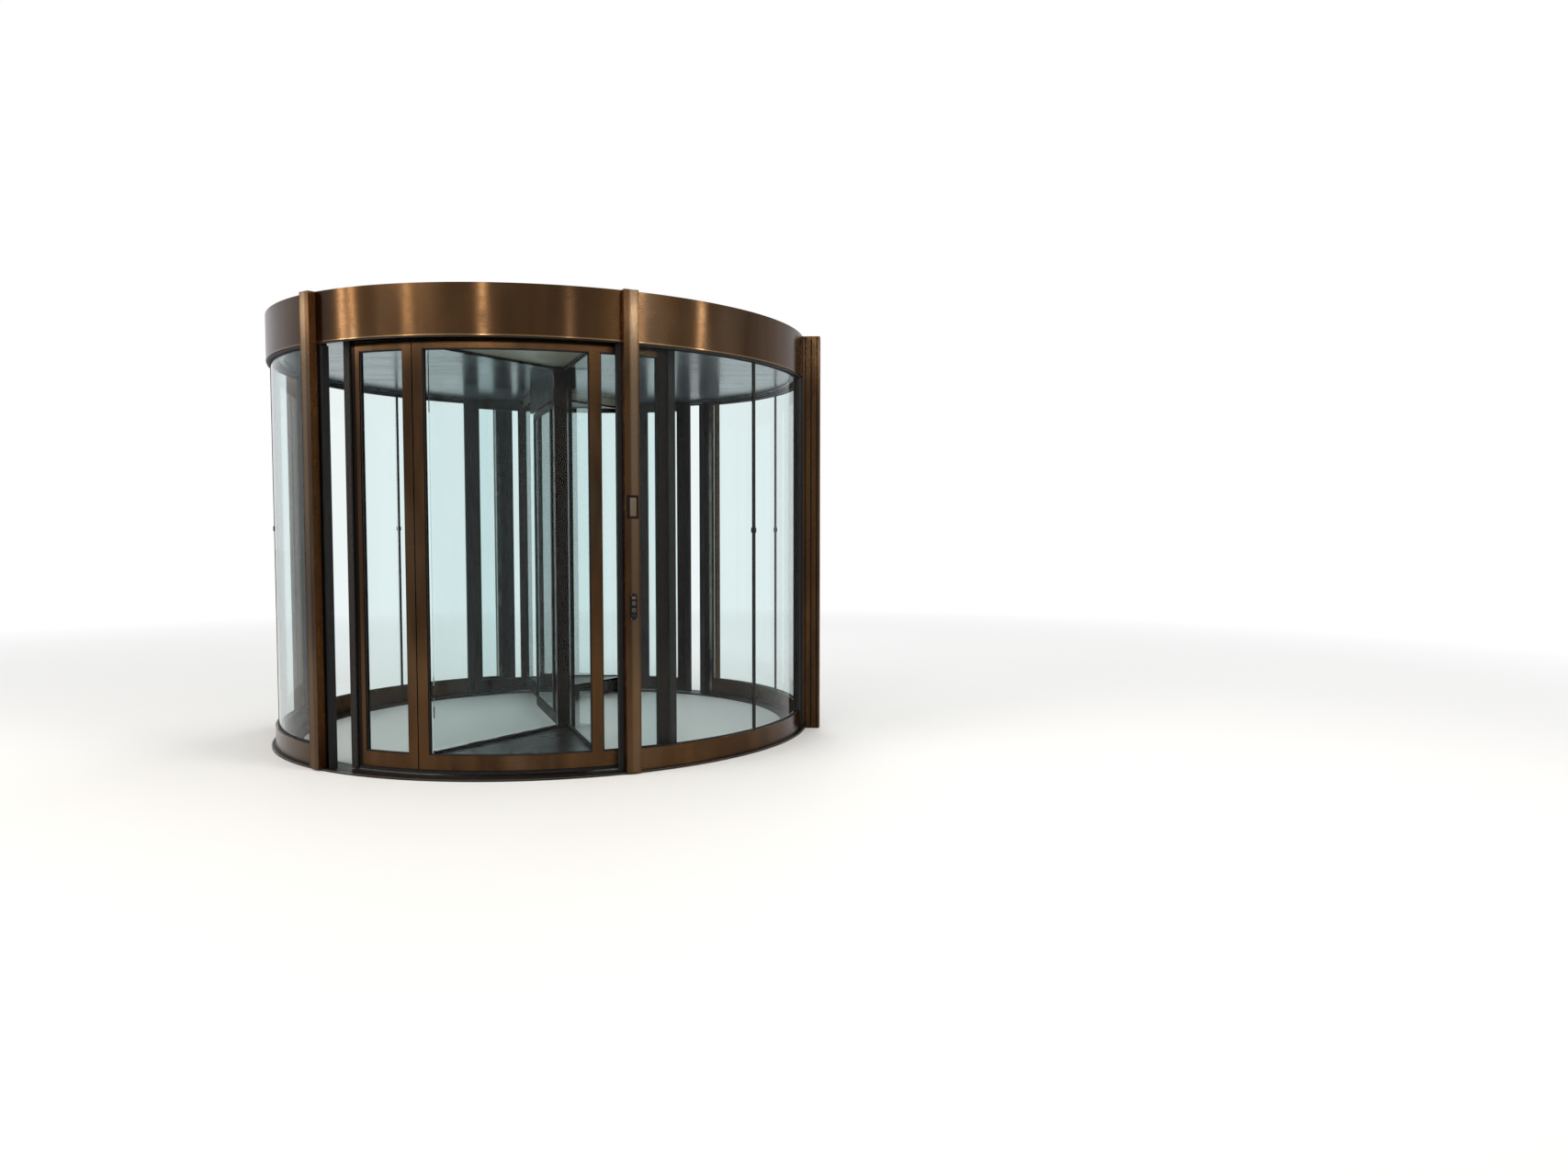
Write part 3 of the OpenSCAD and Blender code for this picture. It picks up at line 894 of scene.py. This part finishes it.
def bead(near: float, far: float, edge: float, rise: float, slope: float) -> list[Pair]:
    """Return the section of a gasket along a frame's edge, thicker at the glass.

    Args:
        near: Radius of its side at the glass.
        far: Radius of its outer side.
        edge: Height that it starts from.
        rise: Height of its outer side, negative where it hangs.
        slope: What its side at the glass has more.

    Returns:
        Points of radius and height.
    """
    return [(near, edge), (far, edge), (far, edge + rise), (near, edge + rise + slope)]


def soften(mesh: bmesh.types.BMesh, edges: Sequence[bmesh.types.BMEdge], radius: float) -> None:
    """Round edges off with two facets.

    Args:
        mesh: The bmesh that they are in.
        edges: The edges.
        radius: Radius in metres.
    """
    shape = {"offset_type": "OFFSET", "affect": "EDGES", "segments": 2, "profile": 0.5, "material": -1}
    bmesh.ops.bevel(mesh, geom=edges, offset=radius, **shape)


def block(mesh: bmesh.types.BMesh, size: Triple, place: Matrix, round_off: float = 0.0) -> None:
    """Add a box with rounded edges.

    Args:
        mesh: The bmesh to add to.
        size: Its three sides in metres.
        place: Where its middle goes.
        round_off: Radius of its edges in metres.
    """
    made = bmesh.ops.create_cube(mesh, size=1.0, matrix=place @ Matrix.Diagonal((*size, 1.0)))
    if round_off:
        edges = dict.fromkeys(edge for vert in made["verts"] for edge in vert.link_edges)
        soften(mesh, list(edges), round_off)


@dataclass(frozen=True)
class Boss:
    """A round boss or screw head: radius, depth and rim radius in metres, and number of sides."""

    radius: float
    depth: float
    round_off: float
    sides: int = 16

    def add(self, mesh: bmesh.types.BMesh, place: Matrix) -> None:
        """Add the boss, its axis along the place's local Y, with rounded rims.

        Args:
            mesh: The bmesh to add to.
            place: Where its middle goes.
        """
        size = {"radius1": self.radius, "radius2": self.radius, "depth": self.depth, "segments": self.sides}
        tilt = place @ Matrix.Rotation(math.radians(90.0), 4, "X")
        made = bmesh.ops.create_cone(mesh, cap_ends=True, matrix=tilt, **size)
        edges = dict.fromkeys(edge for vert in made["verts"] for edge in vert.link_edges)
        rims = [edge for edge in edges if any(len(face.verts) > 4 for face in edge.link_faces)]
        soften(mesh, rims, self.round_off)


SIDES = ("front", "back")
BRONZE_POST = PostBronze("bronze_post", Grain.UPRIGHT)
BRONZE_ROUND = Bronze("bronze_around", Grain.AROUND)
BRONZE_FRAME = FrameBronze("bronze_frame", Grain.UPRIGHT)
BRONZE_WALL = WallBronze("bronze_wall_post", Grain.UPRIGHT)
BRONZE_LIP = Bronze(
    "bronze_lip", Grain.AROUND, shade(124, 98, 68), shade(146, 116, 80), shade(150, 128, 102), 0.2
)
BLACK = Satin("black_satin")
PLATE = Satin("black_plate", shade(13, 12, 12), shade(24, 22, 21), rough=0.45, shine=0.12)
TOUCH = Satin("bronze_touch", shade(88, 72, 56), shade(104, 88, 70), rough=0.5, shine=0.3)
CASE_FLOOR = Satin("case_floor", shade(32, 29, 26), shade(40, 37, 32), rough=0.22, shine=0.3)
FLOOR_RING = Threshold("floor_ring_dark")
RUBBER = Rubber("black_rubber")
BRUSH = Bristle("brush_bristle")
CLEAR = Glass("clear_glass")
CEILING = Panel("ceiling_panel")
ROOF = Panel(
    "roof_sheet",
    shade(138, 138, 136),
    shade(146, 146, 144),
    rough=0.45,
    metal=0.35,
    pitch=50.0,
    joint=shade(84, 84, 84),
)
STEEL = Steel("plain_steel")
KEY_STEEL = Steel("key_ring_steel", shade(104, 101, 96), rough=0.4)
RED = Lens("red_lens")


@dataclass
class Drum:
    """The fixed glass drum: posts, curved walls, rails and floor ring."""

    shop: Workshop
    post_in: float = 29.4
    post_out: float = 32.1
    post_gap: float = 0.05
    wall_end: float = 85.4
    glass_in: float = 1.985
    glass_out: float = 1.997
    base_top: float = 0.154
    head_low: float = 2.770
    tuck: float = 0.006
    gasket_reach: float = 0.007
    joints: tuple[float, ...] = (61.0, -61.0, 120.6, 239.4)
    joint_height: float = 1.585
    clip_size: Triple = (0.032, 0.005, 0.036)
    clip_lift: float = 0.006
    screw: Boss = Boss(0.0045, 0.0012, 0.0004)
    screw_bar: Triple = (0.0012, 0.0008, 0.006)
    screw_count: int = 24
    screw_radius: float = 2.0375
    screw_lift: float = 0.0003
    ring_top: float = 0.012

    def walls(self) -> list[Pair]:
        """Return the start and end azimuth of the four curved walls.

        Returns:
            Azimuths in degrees.
        """
        first, last = self.post_out + self.post_gap, self.wall_end
        spans = ((first, last), (-last, -first))
        return [(half + start, half + end) for half in HALVES for start, end in spans]

    def dress(self) -> None:
        """Give the drum's CAD nodes their finishes."""
        dress = self.shop.dress
        dress(FLOOR_RING, "floor_ring")
        dress(BRONZE_POST, "post_")
        dress(BRONZE_WALL, "wall_post_")
        dress(BRONZE_ROUND, "base_rail_")
        dress(CLEAR, "drum_glass_")
        dress(RUBBER, "glass_joint_seals", "safety_edges")
        dress(BLACK, "head_rails")
        dress(Rim("track_ring_coat", low=2.7884), "track_ring")

    def gaskets(self) -> None:
        """Build the black gaskets on both faces of the curved glass."""
        mesh = bmesh.new()
        foot, head = self.base_top - self.tuck, self.head_low + self.tuck
        for start, end in self.walls():
            for face, step in ((self.glass_out, 1.0), (self.glass_in, -1.0)):
                near, far = face + step * GASKET_GAP, face + step * self.gasket_reach
                sweep(mesh, bead(near, far, foot, 0.010, 0.003), start, end)
                sweep(mesh, bead(near, far, head, -0.009, -0.003), start, end)
        self.shop.piece("glass_gaskets", mesh, RUBBER, Slot.RUBBER)

    def clips(self) -> None:
        """Build the small clamps that hold the seals between two panels."""
        mesh = bmesh.new()
        for azimuth in self.joints:
            for radius in (self.glass_out + self.clip_lift, self.glass_in - self.clip_lift):
                block(mesh, self.clip_size, at_azimuth(azimuth, radius, self.joint_height), 0.002)
        self.shop.piece("joint_clips", mesh, BLACK, Slot.BLACK)

    def ring_screws(self) -> None:
        """Build the countersunk screws that hold the floor ring down, each with its slot's bar."""
        mesh = bmesh.new()
        pitch = 360.0 / self.screw_count
        for number in range(self.screw_count):
            azimuth = (number + 0.5) * pitch
            head = at_azimuth(azimuth, self.screw_radius, self.ring_top + self.screw_lift) @ FACE_UP
            self.screw.add(mesh, head)
            block(mesh, self.screw_bar, shifted(head, y=-self.screw.depth / 2))
        self.shop.piece("ring_screws", mesh, STEEL, Slot.STEEL)

    def build(self) -> None:
        """Dress the drum and add its trim."""
        self.dress()
        self.gaskets()
        self.clips()
        self.ring_screws()


@dataclass
class Canopy:
    """The fascia, its polished lower lip and the roof deck."""

    shop: Workshop
    drum: Drum
    low: float = 2.788
    face: float = 2.025
    end_gap: float = 0.06
    roof_top: float = 3.096
    roof_edge: float = 1.98
    cap_inner: float = 0.20
    cap_outer: float = 0.24
    cap_slope: float = 0.002
    cap_foot: float = 0.0005
    cap_top: float = 0.005
    strip_count: int = 8
    strip_start: float = 0.236
    strip_width: float = 0.046
    strip_t: float = 0.004
    hatch_radius: float = 1.42
    hatch_size: Triple = (0.52, 0.36, 0.005)
    hatch_round: float = 0.0016
    hatch_screws: Pair = (0.235, 0.155)
    screw: Boss = Boss(0.0055, 0.0022, 0.0006)

    def dress(self) -> None:
        """Give the canopy's CAD nodes their finishes."""
        self.shop.dress(BRONZE_ROUND, "fascia_")
        self.shop.dress(ROOF, "canopy_roof")

    def lips(self) -> None:
        """Build the polished lip along the fascia's lower edge."""
        mesh = bmesh.new()
        face, low = self.face, self.low
        outline = [(face - 0.003, low - 0.004), (face + 0.002, low - 0.003), (face + 0.002, low + 0.003)]
        outline += [(face + 0.0004, low + 0.005), (face - 0.0034, low - 0.0004)]
        inner = self.drum.post_in - self.end_gap
        throats = [(half - inner, half + inner) for half in HALVES]
        for start, end in throats + self.drum.walls():
            sweep(mesh, outline, start, end)
        self.shop.piece("fascia_lips", mesh, BRONZE_LIP, Slot.BRONZE)

    def roof_seams(self) -> None:
        """Build the cover strips over the joints of the roof sheets and the round middle cap."""
        mesh = bmesh.new()
        foot, top = self.roof_top + self.cap_foot, self.roof_top + self.cap_top
        inner, outer, slope = self.cap_inner, self.cap_outer, self.cap_slope
        sweep(mesh, [(inner, foot), (outer, foot), (outer - slope, top), (inner + slope, top)], 0.0, 360.0)
        length = self.roof_edge - self.strip_start
        pitch = 360.0 / self.strip_count
        for number in range(self.strip_count):
            middle = (self.strip_start + self.roof_edge) / 2
            place = at_azimuth((number + 0.5) * pitch, middle, self.roof_top + 0.0025)
            block(mesh, (self.strip_width, length, self.strip_t), place, 0.001)
        self.shop.piece("roof_seams", mesh, ROOF, Slot.PALE)

    def roof_hatches(self) -> None:
        """Build the four service covers and their screws."""
        covers, screws = bmesh.new(), bmesh.new()
        wide, deep = self.hatch_screws
        for azimuth in (0.0, 90.0, 180.0, 270.0):
            place = at_azimuth(azimuth, self.hatch_radius, self.roof_top + 0.003)
            block(covers, self.hatch_size, place, self.hatch_round)
            for side in (-1.0, 0.0, 1.0):
                for along in SIGNS:
                    self.screw.add(screws, shifted(place, side * wide, along * deep, 0.0032) @ FACE_UP)
        self.shop.piece("roof_hatches", covers, ROOF, Slot.PALE)
        self.shop.piece("roof_screws", screws, STEEL, Slot.STEEL)

    def build(self) -> None:
        """Dress the canopy and add its lip and the trim of its roof."""
        self.dress()
        self.lips()
        self.roof_seams()
        self.roof_hatches()


@dataclass
class PostPlates:
    """Call plate and control panel on the right lobby post."""

    shop: Workshop
    azimuth: float = 30.75
    face: float = 2.0812
    call_height: float = 1.732
    call_size: Pair = (0.072, 0.150)
    bar: float = 0.012
    inset: float = 0.001
    rim_t: float = 0.003
    touch_t: float = 0.002
    touch_gap: Pair = (0.006, 0.008)
    panel_height: float = 1.092
    key_offset: float = 0.022
    key: Boss = Boss(0.013, 0.004, 0.001, 32)
    key_bar: Triple = (0.002, 0.0016, 0.009)
    core: Boss = Boss(0.0085, 0.003, 0.0006, 32)
    lens_offset: float = 0.058
    lens_size: Triple = (0.026, 0.0024, 0.018)
    stop: Boss = Boss(0.011, 0.006, 0.002, 32)
    screw: Boss = Boss(0.0024, 0.0014, 0.0004, 12)
    screw_offset: Pair = (0.017, 0.078)
    trim_round: float = 0.0008

    def spot(self, lift: float, height: float, side: float = 0.0) -> Matrix:
        """Return a place on the post, so far off the plates' face and to the side."""
        return shifted(at_azimuth(self.azimuth, self.face + lift, height), side)

    def call(self) -> None:
        """Build the call plate's raised rim and its bronze touch field."""
        wide, high = self.call_size
        bar, inset, lift = self.bar, self.inset, self.rim_t / 2
        rim, touch = bmesh.new(), bmesh.new()
        for side in SIGNS:
            upright = self.spot(lift, self.call_height, side * (wide / 2 - bar / 2 - inset))
            block(rim, (bar, self.rim_t, high - 2 * inset), upright, self.trim_round)
            level = self.spot(lift, self.call_height + side * (high / 2 - bar / 2 - inset))
            block(rim, (wide - 2 * inset, self.rim_t, bar), level, self.trim_round)
        self.shop.piece("call_plate_rim", rim, PLATE, Slot.BLACK)
        size = (wide - 2 * bar - self.touch_gap[0], self.touch_t, high - 2 * bar - self.touch_gap[1])
        block(touch, size, self.spot(0.0008, self.call_height), 0.0006)
        self.shop.piece("call_plate_touch", touch, TOUCH, Slot.BRONZE)

    def panel(self) -> None:
        """Build the control panel's two key switches, its lens, its stop button and its screws."""
        steel, red, screws, dark = bmesh.new(), bmesh.new(), bmesh.new(), bmesh.new()
        for side in SIGNS:
            key = self.spot(self.key.depth / 2, self.panel_height - side * self.key_offset)
            self.key.add(steel, key)
            self.core.add(dark, shifted(key, y=-0.0018))
            block(steel, self.key_bar, shifted(key, y=-0.0036), 0.0003)
        block(red, self.lens_size, self.spot(0.001, self.panel_height + self.lens_offset), self.trim_round)
        self.stop.add(dark, self.spot(self.stop.depth / 2, self.panel_height - self.lens_offset))
        across, upward = self.screw_offset
        for up in SIGNS:
            for side in SIGNS:
                self.screw.add(screws, self.spot(0.0006, self.panel_height + up * upward, side * across))
        self.shop.piece("panel_key_rings", steel, KEY_STEEL, Slot.STEEL)
        self.shop.piece("panel_key_cores", dark, BLACK, Slot.BLACK)
        self.shop.piece("panel_lens", red, RED, Slot.BLACK)
        self.shop.piece("panel_screws", screws, STEEL, Slot.STEEL)

    def build(self) -> None:
        """Dress both plates and add their parts."""
        self.shop.dress(PLATE, "call_plate", "control_panel")
        self.call()
        self.panel()


@dataclass
class Rotor:
    """The turning part: ceiling, display cases, wings, header and brushes."""

    shop: Workshop
    rest: float = 8.4
    face: float = 1.928
    depth: float = 0.038
    half: float = 32.7
    left_half: float = 33.4
    brush: float = 1.5
    end_stile: float = 2.2
    case_half: float = 17.6
    case_stile: float = 2.1
    wing_stile: float = 1.9
    groove: float = 0.2
    rail_top: float = 0.140
    head_low: float = 2.722
    glass_t: float = 0.010
    gasket_w: float = 0.007
    gasket_rise: float = 0.004
    wall_gasket: Pair = (0.006, 0.0075)
    wall_line: float = 0.032
    wall_t: float = 0.024
    wall_start: float = 0.966
    wall_end: float = 1.884
    wall_low: float = 0.160
    wall_high: float = 2.733
    strip_size: Triple = (1.90, 0.002, 0.006)
    strip_heights: Pair = (2.612, 2.7)
    screw: Boss = Boss(0.004, 0.0014, 0.0004, 12)
    screw_height: float = 2.655
    screw_pitch: float = 0.28
    screw_count: int = 7

    def dress(self) -> None:
        """Give the rotor's CAD nodes their finishes."""
        dress = self.shop.dress
        dress(Rim("carrier_ring_coat"), "carrier_ring")
        dress(BLACK, "door_header")
        dress(STEEL, "rotor_rollers")
        dress(CEILING, "rotor_ceiling")
        dress(CASE_FLOOR, "case_base_")
        dress(BRONZE_FRAME, "case_frame_", "wing_frames_")
        dress(CLEAR, "case_glass_", "wing_glass_")
        dress(BRUSH, "rotor_brushes")

    def windows(self) -> list[Pair]:
        """Return the start and end azimuth of the six curved windows.

        Returns:
            Azimuths in degrees.
        """
        case = self.case_half - self.case_stile
        left = (self.brush + self.end_stile - self.left_half, -self.case_half - self.groove - self.wing_stile)
        right = (self.case_half + 0.01, self.half - self.brush - self.end_stile)
        return [
            (half + self.rest + start, half + self.rest + end)
            for half in HALVES
            for start, end in ((-case, case), left, right)
        ]

    def gaskets(self) -> None:
        """Build the black gaskets round the six curved windows, on both faces of the glass."""
        mesh = bmesh.new()
        low, top, rise = self.rail_top, self.head_low, self.gasket_rise
        middle, side = self.face - self.depth / 2, math.degrees(self.gasket_w / self.face)
        for start, end in self.windows():
            for step in (1.0, -1.0):
                near = middle + step * (self.glass_t / 2 + GASKET_GAP)
                far = near + step * self.gasket_w
                sweep(mesh, bead(near, far, low, rise, rise), start, end)
                sweep(mesh, bead(near, far, top, -rise, -rise), start, end)
                for first, last in ((start, start + side), (end - side, end)):
                    sweep(mesh, [(near, low), (far, low), (far, top), (near, top)], first, last)
        self.shop.piece("window_gaskets", mesh, RUBBER, Slot.RUBBER, "rotor")

    def wall_gaskets(self) -> None:
        """Build the gaskets at the foot and head of the cases' straight walls, on both faces."""
        mesh = bmesh.new()
        along, length = (self.wall_start + self.wall_end) / 2, self.wall_end - self.wall_start
        for half in HALVES:
            for height in (self.wall_low + 0.004, self.wall_high - 0.004):
                for step in (1.0, -1.0):
                    across = step * (self.glass_t / 2 + 0.0034) - self.wall_line - self.wall_t / 2
                    place = on_door_line(along, across, height, half)
                    block(mesh, (length, *self.wall_gasket), place, 0.0015)
        self.shop.piece("wall_gaskets", mesh, RUBBER, Slot.RUBBER, "rotor")

    def header_trim(self) -> None:
        """Build the cover strips along the header's two faces and their screws."""
        strips, screws = bmesh.new(), bmesh.new()
        for half in HALVES:
            for height in self.strip_heights:
                place = on_door_line(0.0, self.wall_line + 0.0012, height, half)
                block(strips, self.strip_size, place, 0.0006)
            for number in range(self.screw_count):
                along = (number - (self.screw_count - 1) / 2) * self.screw_pitch
                self.screw.add(screws, on_door_line(along, self.wall_line + 0.0008, self.screw_height, half))
        self.shop.piece("header_strips", strips, BLACK, Slot.BLACK, "rotor")
        self.shop.piece("header_screws", screws, STEEL, Slot.STEEL, "rotor")

    def build(self) -> None:
        """Dress the rotor and add its trim."""
        self.dress()
        self.gaskets()
        self.wall_gaskets()
        self.header_trim()


@dataclass
class Leaves:
    """The two sliding leaves of the centre door."""

    shop: Workshop
    inner: float = 0.003
    outer: float = 0.9161
    stile: float = 0.024
    glass_t: float = 0.008
    low: float = 0.024
    glass_low: float = 0.104
    glass_high: float = 2.547
    high: float = 2.587
    bar: float = 0.007
    lift: float = 0.005
    gap: float = 0.0003
    brush_size: Pair = (0.008, 0.009)

    def dress(self) -> None:
        """Give both leaves their finishes."""
        self.shop.dress(BLACK, "leaf_frame_")
        self.shop.dress(CLEAR, "leaf_glass_")

    def trim(self, side: str, half: float) -> None:
        """Build one leaf's glass gaskets, its meeting seal and its floor brush.

        Args:
            side: Which leaf.
            half: 0 for the front leaf, 180 for the back one.
        """
        gaskets, seal, brush = bmesh.new(), bmesh.new(), bmesh.new()
        bar, lift, gap = self.bar, self.lift, self.gap
        first, last = self.inner + self.stile, self.outer - self.stile
        middle, centre = (first + last) / 2, (self.glass_low + self.glass_high) / 2
        for step in (1.0, -1.0):
            across = step * (self.glass_t / 2 + lift / 2 + gap)
            for height in (self.glass_low + bar / 2, self.glass_high - bar / 2):
                place = on_door_line(middle, across, height, half)
                block(gaskets, (last - first - 0.0004, lift, bar), place, 0.0012)
            for along in (first + bar / 2 + gap, last - bar / 2 - gap):
                place = on_door_line(along, across, centre, half)
                block(gaskets, (bar, lift, self.glass_high - self.glass_low - 2 * bar), place, 0.0012)
            lip = on_door_line(self.inner - 0.0008, step * 0.006, (self.low + self.high) / 2, half)
            block(seal, (0.0022, 0.005, self.high - self.low - 0.004), lip, 0.0008)
        deep, high = self.brush_size
        place = on_door_line((self.inner + self.outer) / 2, 0.0, self.low - high / 2, half)
        block(brush, (self.outer - self.inner - 0.02, deep, high), place, 0.001)
        made = (("gaskets", gaskets, RUBBER), ("seal", seal, RUBBER), ("brush", brush, BRUSH))
        for name, mesh, finish in made:
            self.shop.piece(f"leaf_{name}_{side}", mesh, finish, Slot.RUBBER, f"leaf_{side}")

    def build(self) -> None:
        """Dress both leaves and add their trim."""
        self.dress()
        for side, half in zip(SIDES, HALVES):
            self.trim(side, half)


@dataclass(frozen=True)
class Lamp:
    """One soft lamp that faces the middle of the door: its place, sides, power in watts and tint."""

    name: str
    place: Triple
    size: Pair
    power: float
    tint: Colour
    target: Triple = (0.0, 0.0, 1.5)

    def hang(self) -> None:
        """Hang the lamp."""
        light = bpy.data.lights.new(self.name, "AREA")
        light.shape = "RECTANGLE"
        light.size, light.size_y = self.size
        light.energy = self.power
        light.color = self.tint
        thing = link(self.name, light)
        thing.location = self.place
        thing.rotation_mode = "QUATERNION"
        aim = Vector(self.target) - Vector(self.place)
        thing.rotation_quaternion = aim.to_track_quat("-Z", "Y")


@dataclass
class Studio:
    """Pale floor, soft light and the camera at the photograph's viewing angle."""

    image_width: int = 1707
    focal_pixels: float = 1196.7
    centre_pixel: float = 912.1
    place: Triple = (2.654, -8.784, 1.600)
    yaw: float = 2.27
    pitch: float = 3.11
    roll: float = 0.17
    sensor: float = 36.0
    floor_size: float = 60.0
    floor_tone: Colour = (0.80, 0.79, 0.77)
    fade: Pair = (4.0, 13.0)
    sky_tone: Colour = (0.97, 0.98, 1.0)
    soft: float = 0.75
    warm: Colour = (1.0, 0.97, 0.93)
    cool: Colour = (0.94, 0.98, 1.0)
    amber: Colour = (1.0, 0.93, 0.80)
    spot_height: float = 4.2
    spot_size: Pair = (0.22, 0.22)
    spots: tuple[Triple, ...] = (
        (-7.77, -4.3, 40.0),
        (-7.44, -4.97, 30.0),
        (-4.85, -7.44, 30.0),
        (-0.9, -8.6, 54.0),
        (3.35, -7.74, 14.0),
        (6.5, -5.68, 22.0),
        (8.38, -2.4, 46.0),
    )

    def floor(self) -> None:
        """Lay the pale floor, which fades into the white far away and keeps the shadow near."""
        board = Board(bpy.data.materials.new("studio_floor"), "ShaderNodeOutputMaterial")
        share = board.spot().radius().fit(*self.fade) * board.looked_at()
        plain = {"Base Color": self.floor_tone, "Roughness": 0.6, "Specular IOR Level": 0.2}
        near = board.add("ShaderNodeBsdfPrincipled", values=plain)
        white = board.add("ShaderNodeEmission", values=[(1.0, 1.0, 1.0), 1.0])
        material = board.close(board.add("ShaderNodeMixShader", values=[share, near, white]))
        mesh = bmesh.new()
        bmesh.ops.create_grid(mesh, x_segments=4, y_segments=4, size=self.floor_size)
        link_mesh("studio_floor", mesh, material)

    def world(self) -> None:
        """Light the scene softly from all sides, white where it is looked at."""
        board = Board(bpy.data.worlds.new("studio_world"), "ShaderNodeOutputWorld")
        sky = board.add("ShaderNodeBackground", values=[self.sky_tone, self.soft])
        white = board.add("ShaderNodeBackground", values=[(1.0, 1.0, 1.0), 1.0])
        mixed = board.add("ShaderNodeMixShader", values=[board.looked_at(), sky, white])
        bpy.context.scene.world = board.close(mixed)

    def lamps(self) -> None:
        """Hang the three large lamps and the small ones that streak the bronze."""
        Lamp("lamp_left", (-5.5, -7.0, 8.0), (4.0, 4.0), 420.0, self.warm).hang()
        Lamp("lamp_right", (6.0, -4.5, 8.0), (3.0, 4.0), 260.0, self.warm).hang()
        Lamp("lamp_back", (1.0, 7.0, 8.0), (6.0, 4.0), 320.0, self.cool).hang()
        for number, (x, y, power) in enumerate(self.spots, 1):
            Lamp(f"spot_{number}", (x, y, self.spot_height), self.spot_size, power, self.amber).hang()

    def camera(self) -> None:
        """Set the camera where the photograph was taken from."""
        data = bpy.data.cameras.new("camera")
        data.sensor_fit = "HORIZONTAL"
        data.sensor_width = self.sensor
        data.lens = self.focal_pixels / self.image_width * self.sensor
        data.shift_x = 0.5 - self.centre_pixel / self.image_width
        data.clip_end = 200.0
        thing = link("camera", data)
        turn = Matrix.Rotation(math.radians(self.yaw), 4, "Z")
        tilt = Matrix.Rotation(math.radians(90.0 - self.pitch), 4, "X")
        lean = Matrix.Rotation(math.radians(self.roll), 4, "Z")
        thing.matrix_world = Matrix.Translation(self.place) @ turn @ tilt @ lean
        bpy.context.scene.camera = thing

    def build(self) -> None:
        """Lay the floor, hang the lamps and set the camera."""
        self.floor()
        self.world()
        self.lamps()
        self.camera()
        bpy.context.scene.view_settings.view_transform = "Standard"
        LOG.info("studio ready")


def main() -> None:
    """Build and dress every sub-assembly in order."""
    shop = Workshop()
    drum = Drum(shop)
    studio = Studio()
    for part in (studio, drum, Canopy(shop, drum), PostPlates(shop), Rotor(shop), Leaves(shop)):
        part.build()
        LOG.info("%s done", type(part).__name__)


if __name__ == "__main__":
    main()
